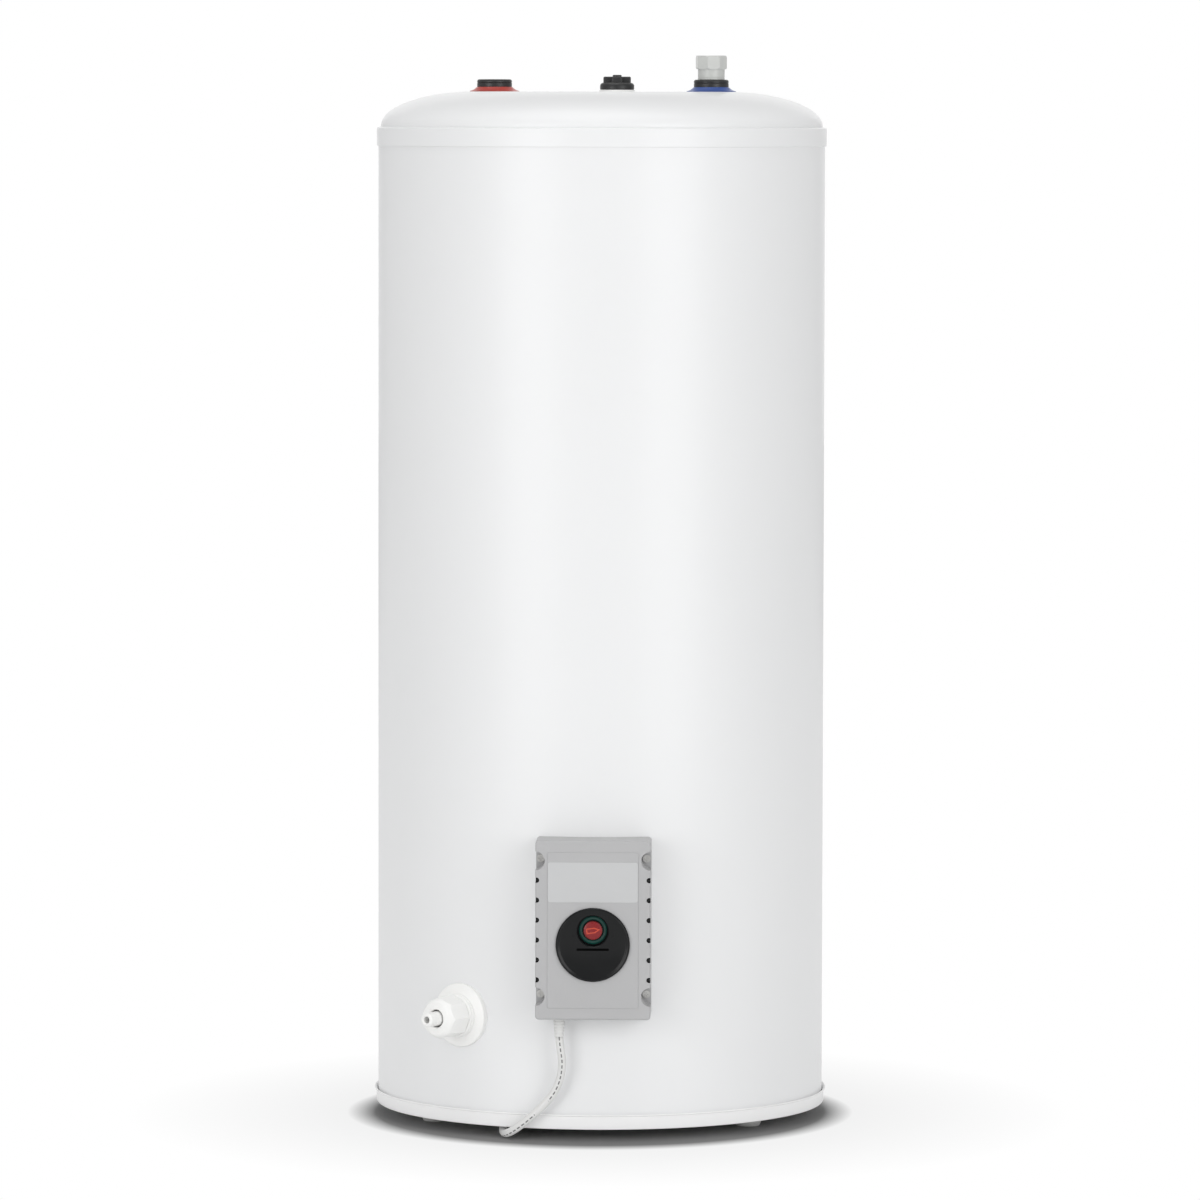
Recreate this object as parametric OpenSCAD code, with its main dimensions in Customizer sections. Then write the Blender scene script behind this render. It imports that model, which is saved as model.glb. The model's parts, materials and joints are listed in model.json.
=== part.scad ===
// Floor-standing electric storage water heater of the 110 litre class.
// A lagged steel tank stands in a white casing on three feet. The pipe fittings
// are on the domed cover, the control box is low on the front, the drain cock
// is beside it, and a lead with a flat-pin plug leaves the bottom of the box.
// Millimetres. +Z is up and the origin is on the floor, on the axis of the tank.
// The front faces -Y.

/* [Casing] */
// Outer diameter of the painted casing
casing_d = 470; // [460:2:600]
// Height of the flat crown of the top cover above the floor
crown_z = 1079; // [840:1:1400]
// Thickness of the casing sheet
casing_wall = 0.8; // [0.5:0.1:1.5]
// Thickness of the top cover and of the bottom pan
cover_wall = 1.5; // [1:0.1:2.5]
// How far the band of the top cover stands out from the casing
band_step = 1.6; // [1.5:0.1:3]
// Height of the band of the top cover
band_h = 19; // [12:1:30]
// Rise of the top cover from the top of its band to the crown
dome_rise = 38; // [30:1:60]
// Width of the rounded shoulder of the top cover
shoulder_w = 100; // [60:1:110]
// Height of the skirt of the bottom pan
skirt_h = 16; // [12:0.2:30]

/* [Feet] */
// Height of each foot
foot_h = 12; // [10:0.5:20]
// Diameter of each foot
foot_d = 28; // [20:1:40]
// Distance of each foot from the axis
foot_reach = 190; // [150:1:200]

/* [Tank] */
// Thickness of the foam around the tank
insulation = 34; // [25:1:45]
// Thickness of the tank wall
tank_wall = 2; // [1.5:0.1:4]
// Depth of each dished head
head_h = 60; // [40:1:80]
// Room over the top head, below the crown
top_room = 52; // [45:1:70]
// Height of the lower seam of the tank above the floor
low_seam_z = 106; // [100:1:109]

/* [Pipe fittings] */
// Distance of the hot fitting from the axis
hot_x = 113; // [80:1:120]
// Distance of the cold fitting from the axis
cold_x = 115; // [80:1:120]
// Offset of the anode plug from the axis
anode_x = 16; // [0:1:30]
// Bore of the 3/4 inch threads at the crest
thread_bore_d = 24.14; // [24.14:0.01:24.14]
// Outer diameter of the pipe nipples
nipple_d = 26; // [25:0.1:27]
// Outer diameter of the black collars
collar_d = 36.7; // [34:0.1:42]
// Outer diameter of the coloured rosettes
rosette_d = 52; // [46:1:60]
// Length of the anode rod
anode_l = 420; // [200:10:600]
// Diameter of the anode rod
anode_d = 22; // [16:1:26]

/* [Control box] */
// Width of the control cover
box_w = 118; // [116:1:140]
// Height of the control cover
box_h = 184; // [180:1:220]
// How far the control cover stands out from the casing
box_depth = 42; // [40:1:60]
// Height of the bottom of the control cover above the floor
box_z = 131; // [100:1:200]
// Wall of the control cover
box_wall = 2.5; // [2:0.1:3]
// Diameter of the dial bezel
bezel_d = 76; // [72:1:84]
// Diameter of the well in the bezel
well_d = 31.5; // [30:0.5:38]
// Diameter of the thermostat knob
knob_d = 19.5; // [16:0.5:24]
// Height of the well's centre above the bezel's centre
well_up = 14; // [10:0.5:14]

/* [Heating element] */
// Diameter of the element flange
flange_d = 104; // [100:1:106]
// Length of the heating element in the tank
element_l = 290; // [150:5:340]

/* [Drain cock] */
// Angle of the drain cock to the left of the front
drain_turn = 36.2; // [30:0.1:60]
// Height of the drain cock above the floor
drain_z = 125; // [121:1:180]
// Diameter of the escutcheon
escutcheon_d = 66; // [60:1:76]
// Width across the flats of the octagonal handle
handle_w = 40; // [36:1:46]
// Diameter of the nozzle's free end
nozzle_d = 14.6; // [14:0.1:14.8]

/* [Lead] */
// Diameter of the lead
cord_d = 8.4; // [6:0.1:9]

/* [Hidden] */
$fn = 96;

// Clearances: between pieces that only lie side by side, and of a running fit
gap = 0.3;
running = 0.08;
eps = 0.01;

// Casing, cover and pan
casing_r = casing_d / 2;
band_r = casing_r + band_step;
band_top_z = crown_z - dome_rise;
dome_r = casing_r - 2.6;
flat_r = dome_r - shoulder_w;
pan_r = casing_r + 2;
pan_lip = 2;
pan_floor_z = foot_h + cover_wall;
casing_top_z = band_top_z - cover_wall - 2;
feet_turns = [56, -64, 176];

// Tank
tank_r = casing_r - casing_wall - insulation;
tank_inner_r = tank_r - tank_wall;
tank_top_z = crown_z - top_room;
high_seam_z = tank_top_z - head_h;
stand_r = 150;
stand_wall = 3;

// Height of the outside of the top head at distance x from the axis
function head_z(x) = high_seam_z + head_h * sqrt(1 - pow(x / tank_r, 2));

// Pipe fittings. Heights in this group are above the crown.
fitting_hole_r = 16;
sleeve_r = 15.5;
collar_low = -16;
collar_top = 12.8;
thread_r = thread_bore_d / 2;
thread_end = -4.3;
nipple_r = nipple_d / 2;
nipple_bore_r = 10;
liner_flange_h = 2;
nipple_top = thread_end - liner_flange_h;
liner_r = nipple_bore_r - 0.1;
liner_bore_r = 8.4;
hot_liner_l = 70;
dip_clear = 45;
rosette_h = 4.9;
boss_r = 18;
boss_up = 12;
boss_down = 9;

// Inlet valve, above the crown
neck_r = 14.1;
neck_top = 23.7;
valve_head_w = 31;
valve_top = 38;
valve_thread_l = 16;
seat_top = valve_top - valve_thread_l;
seat_low = seat_top - 3;
chamber_r = 10;
spigot_low = thread_end + 0.6;
retainer_h = 3;
retainer_top = spigot_low + retainer_h;
poppet_top = seat_low - gap;
poppet_h = 3;
stem_r = 2.5;
spring_wire_r = 0.6;
spring_r = 5.8;
spring_turns = 5;

// Anode plug, above the crown
washer_h = 2;
cap_top = 9.4;
grip_top = 15.8;
pip_top = 17.7;
stud_r = 13;

// Front assembly, as distances from the axis along -Y
dial_z = box_z + 77.5;
well_z = dial_z + well_up;
access_r = 54;
neck_face = tank_r + 14;
gasket_t = 2;
flange_t = 6;
flange_in = neck_face + gasket_t;
flange_out = flange_in + flange_t;
flange_r = flange_d / 2;
neck_bore_r = 34;
bolt_ring_r = 43;
bolt_r = 3;
bolts = 5;
element_r = 4;
element_drop = 9;
well_tube_r = 5;
body_back = flange_out + 5;
body_front = body_back + 29;
box_front = casing_r + box_depth;
panel_t = 0.8;
box_inner = box_front - box_wall;
base_front = casing_r + 5.7;
pocket_r = 9.7;
pocket_floor = base_front + 6.3;
pocket_up = [23.6, box_h - 20.7];
post_wall = 2;
screw_in = 4.7;
vent_r = 2.75;
vent_pitch = 20.5;
vent_first = 41;
vents = 6;
bezel_r = bezel_d / 2;
bezel_t = 3.2;
rim_w = 4;
barrel_r = bezel_r - 3.3;
dial_hole_r = barrel_r + gap;
bezel_back = box_front + panel_t;
bezel_face = bezel_back + bezel_t - 1;
well_floor = box_front - 9.5;
shaft_r = 3;
knob_back = well_floor + gap;
knob_t = 5;
reset_x = 17;
reset_z = well_z - 16;

// Drain cock, as distances from the axis along its own line
drain_hole_r = 14;
boss_face = tank_r + 14;
spigot_r = 10.45;
spigot_in = tank_inner_r;
cock_r = 13;
stem_seat = boss_face + 0.3;
collar_in = casing_r + 6;
cock_neck_r = 11;
cock_neck_end = collar_in + 18;
handle_back = collar_in + 6.3;
handle_front = collar_in + 35.5;
nozzle_start = handle_front + 0.5;
nozzle_tip = handle_front + 16;
shank_r = 7.5;
nozzle_bore_r = 3.5;
drive_flange = cock_neck_end + 2;
drive_flange_t = 4;
drain_lift = 4.5;
seal_wire_r = 0.95;
seal_at = casing_r + 1;
groove_r = shank_r - 1.95;

// Lead: points along the middle of its run, chosen by hand for a casing 470 across
cord_r = cord_d / 2;
lead_reach = casing_d / 470;
gland_x = -35;
gland_y = -252 * lead_reach;
gland_l = 20;
run_route = [
    [-35, -252, 111], [-33.6, -251.4, 98], [-32, -249.5, 84], [-34, -247, 68], [-40, -246, 53],
    [-50, -244, 40], [-62, -241, 28], [-74, -236, 17.5], [-84, -228, 9.8], [-90.5, -216, 5.6],
    [-94, -200, 4.4], [-95.5, -180, 4.4], [-96.5, -155, 4.4], [-98, -125, 4.4],
    [-99.5, -95, 4.4], [-100.5, -62, 4.4], [-101, -28, 4.4], [-101, 5, 4.4], [-100, 40, 4.4],
    [-98, 75, 4.4], [-96, 110, 4.4], [-94, 145, 4.4], [-91, 180, 4.4], [-89, 215, 4.4],
    [-88, 245, 4.8], [-88, 276, 5.8]
];
run_points = [for (p = run_route) [p[0], p[1] * lead_reach, p[2]]];
coil_at = [-40, 300 * lead_reach];
tail_y = coil_at[1] + 46;
tail_points = [
    [-16, tail_y + 1.6, 25], [0, tail_y + 1, 21.5], [18, tail_y, 16], [36, tail_y, 12.2],
    [52, tail_y, 11]
];
coil_r = 48;
coil_low = 1.6;
coil_h = 30.4;
tie_w = 9;
tie_t = 1.2;
tie_turn = 20;
plug_at = tail_points[4];
plug_relief_l = 24;
plug_l = 34;
plug_w = 38;
plug_t = 21;
pin_l = 18;

// ---------- helpers ----------

module tube(outer, inner, low, high) {
    translate([0, 0, low])
        difference() {
            cylinder(r = outer, h = high - low);
            translate([0, 0, -1])
                cylinder(r = inner, h = high - low + 2);
        }
}

module rod(radius, low, high) {
    translate([0, 0, low])
        cylinder(r = radius, h = high - low);
}

// Turns local Z towards the front, local Y up, with the local origin at height z
module facing_front(z) {
    translate([0, 0, z])
        rotate([90, 0, 0])
            children();
}

// The same along the line of the drain cock
module facing_drain() {
    rotate([0, 0, -drain_turn])
        facing_front(drain_z)
            children();
}

module above_crown(x) {
    translate([x, 0, crown_z])
        children();
}

module rounded_bar(w, h, r) {
    for (x = [-1, 1], y = [-1, 1])
        translate([x * (w / 2 - r), y * (h / 2 - r)])
            circle(r = r, $fn = 32);
    square([w - 2 * r, h], center = true);
    square([w, h - 2 * r], center = true);
}

module rounded_plate(w, h, r, low, high) {
    translate([0, 0, low])
        linear_extrude(high - low)
            rounded_bar(w, h, r);
}

// Everything inside the outer face of the casing, to shape what lies against it
module casing_core(clear) {
    translate([0, 0, -200])
        cylinder(r = casing_r + clear, h = crown_z + 400, $fn = 180);
}

// Quarter of an ellipse from the axis to the rim
function quarter(r, h, z) = [for (a = [0 : 7.5 : 90]) [r * sin(a), z + h * cos(a)]];
function reversed(list) = [for (i = [len(list) - 1 : -1 : 0]) list[i]];

module tank_outline(grow) {
    rotate_extrude($fn = 120)
        polygon(concat(
            quarter(tank_r + grow, head_h + grow, high_seam_z),
            reversed(quarter(tank_r + grow, -head_h - grow, low_seam_z))
        ));
}

module dished_head(seam, sign) {
    outer = quarter(tank_r, sign * head_h, seam);
    inner = quarter(tank_inner_r, sign * (head_h - tank_wall), seam);
    rotate_extrude($fn = 120)
        polygon(concat(outer, reversed(inner)));
}

// Sweep of a round section along points
function unit(v) = v / norm(v);
function heading(p, i) = unit(p[min(i + 1, len(p) - 1)] - p[max(i - 1, 0)]);
function across(d) = unit(cross(d, abs(d[2]) > 0.8 ? [0, 1, 0] : [0, 0, 1]));
function ring(c, u, v, r, sides) =
    [for (k = [0 : sides - 1]) c + r * (cos(k * 360 / sides) * u + sin(k * 360 / sides) * v)];
// Carries the section's side direction along, so that the sweep doesn't twist
function carried(p, i) =
    i == 0 ? across(heading(p, 0))
    : let (d = heading(p, i), u = carried(p, i - 1)) unit(u - (u * d) * d);
function tube_ends(n, sides) = [
    [for (k = [0 : sides - 1]) k],
    [for (k = [sides - 1 : -1 : 0]) (n - 1) * sides + k]
];
function tube_sides(n, sides) = [
    for (i = [0 : n - 2], k = [0 : sides - 1])
        let (a = i * sides + k, b = i * sides + (k + 1) % sides)
            each [[a, b + sides, b], [a, a + sides, b + sides]]
];

module sweep(p, r, sides) {
    points = [
        for (i = [0 : len(p) - 1])
            let (d = heading(p, i), u = carried(p, i))
                each ring(p[i], u, cross(d, u), r, sides)
    ];
    polyhedron(points, concat(tube_ends(len(p), sides), tube_sides(len(p), sides)));
}

// ---------- casing ----------

module bottom_cover() {
    color("white")
        rotate_extrude($fn = 180)
            polygon([
                [0, foot_h], [pan_r, foot_h], [pan_r, foot_h + skirt_h - 2.4],
                [pan_r + pan_lip, foot_h + skirt_h - 1], [pan_r + pan_lip - 0.5, foot_h + skirt_h],
                [pan_r - cover_wall, foot_h + skirt_h - 2], [pan_r - cover_wall, pan_floor_z],
                [0, pan_floor_z]
            ]);
}

module feet() {
    color("gainsboro")
        for (turn = feet_turns)
            rotate([0, 0, turn])
                translate([0, -foot_reach, 0]) {
                    cylinder(d1 = foot_d - 4, d2 = foot_d, h = 3, $fn = 48);
                    translate([0, 0, 3])
                        cylinder(d = foot_d, h = foot_h - 3, $fn = 48);
                }
}

module outer_casing() {
    color("white")
        difference() {
            translate([0, 0, pan_floor_z])
                difference() {
                    cylinder(r = casing_r, h = casing_top_z - pan_floor_z, $fn = 180);
                    translate([0, 0, -1])
                        cylinder(
                            r = casing_r - casing_wall, h = casing_top_z - pan_floor_z + 2, $fn = 180
                        );
                }
            facing_front(dial_z)
                rod(access_r, tank_r, casing_r + 10);
            facing_drain()
                rod(drain_hole_r, tank_r, casing_r + 10);
        }
}

// Outline of the top cover, set in by t and stopped at the height low
function cover_line(t, low) = concat(
    [for (a = [0 : 7.5 : 90]) [
        flat_r + (shoulder_w - t) * sin(a),
        crown_z - t - (dome_rise - 2) * (1 - cos(a))
    ]],
    [[band_r - t, band_top_z - t], [band_r - t, low]]
);

module top_cover() {
    low = band_top_z - band_h;
    color("white")
        difference() {
            rotate_extrude($fn = 180)
                polygon(concat(
                    [[0, crown_z]], cover_line(0, low),
                    reversed(cover_line(cover_wall, low)), [[0, crown_z - cover_wall]]
                ));
            for (x = [-hot_x, cold_x])
                above_crown(x)
                    rod(fitting_hole_r, -10, 10);
            above_crown(anode_x)
                rod(stud_r + 1, -10, 10);
        }
}

module foam_insulation() {
    top = casing_top_z - 2;
    color("khaki")
        difference() {
            translate([0, 0, pan_floor_z + gap])
                cylinder(r = casing_r - casing_wall - gap, h = top - pan_floor_z - gap, $fn = 180);
            tank_outline(gap);
            tube(stand_r + gap, stand_r - stand_wall - gap, 0, low_seam_z);
            facing_front(dial_z)
                rod(access_r, tank_r - 20, casing_r + 10);
            facing_drain()
                rod(boss_r - 2, tank_r - 30, casing_r + 10);
            for (x = [-hot_x, cold_x, anode_x])
                translate([x, 0, 0])
                    rod(boss_r + gap, high_seam_z, crown_z);
        }
}

// ---------- tank ----------

module tank_shell() {
    color("steelblue")
        difference() {
            tube(tank_r, tank_inner_r, low_seam_z, high_seam_z, $fn = 120);
            facing_front(dial_z)
                rod(neck_bore_r, tank_r - 30, tank_r + 30);
            facing_drain()
                rod(boss_r - 3, tank_r - 30, tank_r + 30);
        }
}

module tank_top_head() {
    color("steelblue")
        difference() {
            dished_head(high_seam_z, 1);
            for (x = [-hot_x, cold_x, anode_x])
                translate([x, 0, high_seam_z])
                    cylinder(r = boss_r, h = head_h + 20);
        }
}

module tank_bottom_head() {
    color("steelblue")
        dished_head(low_seam_z, -1);
}

module tank_stand() {
    color("dimgray")
        difference() {
            tube(stand_r, stand_r - stand_wall, pan_floor_z, low_seam_z);
            tank_outline(0);
        }
}

module boss(x, bore) {
    color("slategray")
        translate([x, 0, 0])
            tube(boss_r, bore, head_z(x) - boss_down, head_z(x) + boss_up);
}

module hot_boss() {
    boss(-hot_x, nipple_r + 0.05);
}

module cold_boss() {
    boss(cold_x, nipple_r + 0.05);
}

module anode_boss() {
    boss(anode_x, stud_r + 0.05);
}

// ---------- pipe fittings ----------

module nipple(x) {
    color("silver")
        translate([x, 0, 0])
            tube(nipple_r, nipple_bore_r, head_z(x) - boss_down, crown_z + nipple_top);
}

module hot_nipple() {
    nipple(-hot_x);
}

module cold_nipple() {
    nipple(cold_x);
}

module liner(x, low) {
    color("ivory")
        translate([x, 0, 0]) {
            tube(liner_r, liner_bore_r, low, crown_z + thread_end);
            tube(nipple_r, liner_bore_r, crown_z + nipple_top, crown_z + thread_end);
        }
}

module hot_liner() {
    liner(-hot_x, crown_z - hot_liner_l);
}

// Carries the cold water down to the bottom of the tank
module dip_tube() {
    liner(cold_x, low_seam_z + dip_clear);
}

module rosette(x, tint) {
    color(tint)
        above_crown(x)
            rotate_extrude()
                polygon([
                    [sleeve_r + gap, 0], [rosette_d / 2, 0], [rosette_d / 2, 0.8],
                    [collar_d / 2 + 2.5, rosette_h - 1.2], [collar_d / 2, rosette_h],
                    [sleeve_r + gap, rosette_h]
                ]);
}

module hot_rosette() {
    rosette(-hot_x, "firebrick");
}

module cold_rosette() {
    rosette(cold_x, "mediumblue");
}

module collar(x) {
    edge = 1.6;
    color("black")
        above_crown(x)
            difference() {
                union() {
                    rod(sleeve_r, collar_low, rosette_h);
                    rod(collar_d / 2, rosette_h, collar_top - edge);
                    translate([0, 0, collar_top - edge])
                        cylinder(r1 = collar_d / 2, r2 = collar_d / 2 - edge, h = edge);
                }
                rod(thread_r, thread_end - 1, collar_top + 1);
                rod(nipple_r + 0.05, collar_low - 1, thread_end);
            }
}

module hot_collar() {
    collar(-hot_x);
}

module cold_collar() {
    collar(cold_x);
}

module anode_washer() {
    color("white")
        above_crown(anode_x)
            tube(19, stud_r + 0.2, 0, washer_h);
}

module anode_plug() {
    grip_w = 28.8;
    grip_bar = 11;
    color("black")
        above_crown(anode_x) {
            rod(18, washer_h, cap_top);
            for (turn = [0, 90])
                rotate([0, 0, turn])
                    translate([-grip_w / 2, -grip_bar / 2, cap_top])
                        cube([grip_w, grip_bar, grip_top - cap_top]);
            rod(4.75, grip_top, pip_top);
        }
}

module anode_stud() {
    color("silver")
        translate([anode_x, 0, 0])
            rod(stud_r, head_z(anode_x) - boss_down, crown_z + washer_h);
}

module anode_rod() {
    top = head_z(anode_x) - boss_down;
    color("darkgray")
        translate([anode_x, 0, 0])
            rod(anode_d / 2, top - anode_l, top);
}

// ---------- inlet valve ----------

module inlet_valve_body() {
    color("white")
        above_crown(cold_x)
            difference() {
                union() {
                    rod(thread_r - 0.07, spigot_low, collar_top);
                    rod(neck_r, collar_top, neck_top + 1);
                    rotate([0, 0, 10])
                        translate([0, 0, neck_top])
                            cylinder(
                                r = valve_head_w / 2 / cos(22.5), h = valve_top - neck_top, $fn = 8
                            );
                }
                rod(thread_r, seat_top, valve_top + 1);
                rod(8, seat_low - 1, seat_top + 1);
                rod(chamber_r, spigot_low - 1, seat_low);
            }
}

// Opens downwards under the cold water's pressure
module inlet_poppet() {
    color("orange")
        above_crown(cold_x) {
            rod(chamber_r - 1, poppet_top - poppet_h, poppet_top);
            rod(stem_r, retainer_top - 2, poppet_top - poppet_h);
        }
}

module inlet_spring() {
    low = retainer_top + spring_wire_r + 0.1;
    high = poppet_top - poppet_h - spring_wire_r - 0.1;
    steps = spring_turns * 14;
    line = [
        for (i = [0 : steps])
            let (a = 360 * spring_turns * i / steps)
                [spring_r * cos(a), spring_r * sin(a), low + (high - low) * i / steps]
    ];
    color("silver")
        above_crown(cold_x)
            sweep(line, spring_wire_r, 6);
}

module inlet_retainer() {
    hub_r = stem_r + 2;
    rim = 2;
    color("ivory")
        above_crown(cold_x)
            difference() {
                union() {
                    tube(chamber_r - 0.1, chamber_r - rim, spigot_low, retainer_top);
                    rod(hub_r, spigot_low, retainer_top);
                    for (turn = [30 : 120 : 270])
                        rotate([0, 0, turn])
                            translate([hub_r - 1, -1.2, spigot_low])
                                cube([chamber_r - rim - hub_r + 1.5, 2.4, retainer_h]);
                }
                rod(stem_r + running, spigot_low - 1, retainer_top + 1);
            }
}

// ---------- heating element and thermostat ----------

module bolt_places() {
    for (turn = [0 : bolts - 1])
        rotate([0, 0, 90 + turn * 360 / bolts])
            translate([bolt_ring_r, 0, 0])
                children();
}

module flange_ring(inner, low, high) {
    difference() {
        tube(flange_r, inner, low, high);
        bolt_places()
            rod(bolt_r + gap, low - 1, high + 1);
    }
}

module element_neck() {
    color("slategray")
        difference() {
            facing_front(dial_z)
                flange_ring(neck_bore_r, tank_r - 20, neck_face);
            translate([0, 0, low_seam_z])
                cylinder(r = tank_r, h = high_seam_z - low_seam_z, $fn = 120);
        }
}

module element_gasket() {
    color("black")
        facing_front(dial_z)
            flange_ring(neck_bore_r, neck_face, flange_in);
}

element_legs = [-24, -9, 9, 24];

module element_flange() {
    color("gold")
        facing_front(dial_z)
            difference() {
                flange_ring(eps, flange_in, flange_out);
                rod(1, flange_in - eps, flange_out + eps);
                for (x = element_legs)
                    translate([x, -element_drop, 0])
                        rod(element_r + 0.05, flange_in - 1, flange_out + 1);
                translate([0, well_up, 0])
                    rod(well_tube_r + 0.05, flange_in - 1, flange_out + 1);
            }
}

module flange_bolts() {
    color("silver")
        facing_front(dial_z)
            bolt_places() {
                rod(bolt_r, neck_face - 9, flange_out);
                translate([0, 0, flange_out])
                    cylinder(r = 5.8, h = 4, $fn = 6);
            }
}

// Two sheathed hairpins, one inside the other
module heating_element() {
    tab_l = 7;
    color("sienna")
        facing_front(dial_z)
            translate([0, -element_drop, 0])
                for (pair = [[24, 0], [9, 12]]) {
                    reach = flange_in - element_l + pair[1];
                    for (x = [-pair[0], pair[0]])
                        translate([x, 0, 0]) {
                            rod(element_r, reach, flange_out + 2);
                            rod(1.8, flange_out + 2, flange_out + 2 + tab_l);
                        }
                    translate([0, 0, reach])
                        rotate([90, 0, 0])
                            rotate_extrude(angle = -180)
                                translate([pair[0], 0])
                                    circle(r = element_r, $fn = 24);
                }
}

module thermowell() {
    l = 230;
    color("silver")
        facing_front(dial_z)
            translate([0, well_up, 0]) {
                difference() {
                    rod(well_tube_r, flange_in - l, flange_out);
                    rod(well_tube_r - 1, flange_in - l + 2, flange_out + 1);
                }
                tube(8, well_tube_r - 1, flange_out, flange_out + 3);
            }
}

module thermostat_bulb() {
    l = 210;
    color("goldenrod")
        facing_front(well_z)
            rod(well_tube_r - 1.2, flange_in - l, body_back);
}

module thermostat_body() {
    w = 46;
    h = 52;
    color("darkslategray")
        facing_front(well_z)
            difference() {
                translate([-w / 2, -h / 2, body_back])
                    cube([w, h, body_front - body_back]);
                rod(shaft_r + running, body_front - 13, body_front + 1);
                translate([reset_x, reset_z - well_z, 0])
                    rod(2 + running, body_front - 6, body_front + 1);
                translate([-w / 2 - 1, -h / 2 - 1, body_back - 1])
                    cube([w + 2, 8, 9]);
            }
}

// The red disc that sets the temperature, with its shaft
module thermostat_knob() {
    color("firebrick")
        facing_front(well_z)
            difference() {
                union() {
                    rod(shaft_r, body_front - 12.5, knob_back + 1);
                    rod(knob_d / 2, knob_back, knob_back + knob_t - 1);
                    rod(knob_d / 2 - 1, knob_back, knob_back + knob_t);
                }
                translate([-knob_d / 2, -1.1, knob_back + knob_t - 1.4])
                    cube([knob_d, 2.2, 3]);
            }
}

// Puts the safety cut-out back; it is reached with the cover off
module reset_button() {
    color("red")
        facing_front(reset_z)
            translate([reset_x, 0, 0])
                rod(2, body_front - 4, body_front + 2);
}

// ---------- control box ----------

box_mid_z = box_z + box_h / 2;

module pocket_places(inset) {
    for (side = [-1, 1], up = pocket_up)
        translate([side * (box_w / 2 - inset), up - box_h / 2, 0])
            children();
}

module control_base() {
    edge = box_wall + 0.5;
    color("dimgray")
        difference() {
            facing_front(box_mid_z)
                rounded_plate(box_w - 2 * edge, box_h - 2 * edge, 3, casing_r - 12, base_front);
            casing_core(gap);
            facing_front(dial_z)
                rod(access_r, tank_r, box_front);
            facing_front(box_mid_z)
                pocket_places(screw_in)
                    rod(2.05, casing_r - 20, box_front);
        }
}

module cover_posts() {
    intersection() {
        pocket_places(0)
            rod(pocket_r + post_wall, base_front + gap, box_inner + eps);
        rounded_plate(box_w - 1, box_h - 1, 3, base_front, box_front);
    }
}

module vent_holes() {
    for (side = [-1, 1], i = [0 : vents - 1])
        translate([side * (box_w / 2 - 1.4), vent_first + i * vent_pitch - box_h / 2, 0])
            rod(vent_r, box_front - 14, box_front + 3, $fn = 24);
}

module control_cover() {
    color("silver")
        difference() {
            facing_front(box_mid_z)
                difference() {
                    union() {
                        difference() {
                            rounded_plate(box_w, box_h, 3.5, casing_r - 13, box_front);
                            rounded_plate(
                                box_w - 2 * box_wall, box_h - 2 * box_wall, 2, casing_r - 14, box_inner
                            );
                        }
                        rounded_plate(box_w - 25, box_h - 24, 2, box_front - 1, box_front + panel_t);
                        cover_posts();
                    }
                    pocket_places(0)
                        rod(pocket_r, pocket_floor, box_front + 2);
                    pocket_places(screw_in)
                        rod(2.2, base_front, box_front);
                    vent_holes();
                }
            facing_front(dial_z)
                rod(dial_hole_r, box_inner - 2, box_front + 2);
            translate([gland_x, gland_y, box_z - 2])
                cylinder(r = 6.3, h = box_wall + 4);
            casing_core(gap);
        }
}

module cover_screws() {
    color("silver")
        facing_front(box_mid_z)
            pocket_places(screw_in)
                difference() {
                    union() {
                        rod(1.95, base_front - 3.5, pocket_floor);
                        rod(4, pocket_floor, pocket_floor + 2.6);
                    }
                    for (turn = [0, 90])
                        rotate([0, 0, turn])
                            translate([-2.5, -0.5, pocket_floor + 1.4])
                                cube([5, 1, 2]);
                }
}

// Fixed black disc with the thermostat's well in its upper half
module dial_bezel() {
    slot_w = 33;
    color("black")
        difference() {
            union() {
                facing_front(dial_z) {
                    rod(bezel_r, bezel_back, bezel_face);
                    tube(bezel_r, bezel_r - rim_w, bezel_face, bezel_face + 1.2);
                    tube(barrel_r, barrel_r - 2, box_inner - 3, bezel_back);
                }
                facing_front(well_z)
                    rod(well_d / 2 + 1.6, well_floor - 1.5, bezel_back);
            }
            facing_front(well_z) {
                rod(well_d / 2, well_floor, box_front + 20);
                rod(shaft_r + 0.6, well_floor - 3, well_floor + 1);
            }
            facing_front(dial_z - 3.5)
                translate([-slot_w / 2, -1, bezel_face - 1.2])
                    cube([slot_w, 2, 5]);
        }
}

module scale_ring() {
    color("teal")
        facing_front(well_z)
            tube(well_d / 2 - 1.2, knob_d / 2 + 0.8, well_floor, well_floor + 0.8);
}

module rating_plate() {
    plate_low = 121;
    plate_h = 41;
    color("whitesmoke")
        facing_front(box_z + plate_low + plate_h / 2)
            rounded_plate(92, plate_h, 2.5, box_front + panel_t, box_front + panel_t + 0.3);
}

// ---------- inside the box ----------

module terminal_block() {
    color("ivory")
        facing_front(box_z + 22)
            for (i = [0 : 2])
                translate([-44 + 13 * i, -10, base_front]) {
                    cube([12, 20, 12]);
                    translate([6, 10, 12])
                        cylinder(r = 3, h = 1.5, $fn = 24);
                }
}

// Three leads from the terminals up to the thermostat and the element
wire_ends = [
    [[-38, 33], [-47, 60], [-24.7, 84]],
    [[-25, 33], [-33, 48], [-14, 63.7]],
    [[-12, 33], [-6, 44], [8, 63.7]]
];

module wiring() {
    color("saddlebrown")
        for (w = wire_ends) {
            front = body_front - 6;
            back = base_front + 6;
            sweep([
                [w[0][0], -back, box_z + w[0][1] - 0.7],
                [w[0][0], -back - 3, box_z + w[0][1] + 6],
                [w[1][0], -back - 10, box_z + w[1][1]],
                [w[2][0] - 2, -front, box_z + w[2][1] - 14],
                [w[2][0], -front, box_z + w[2][1]]
            ], 1.4, 8);
        }
}

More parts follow.
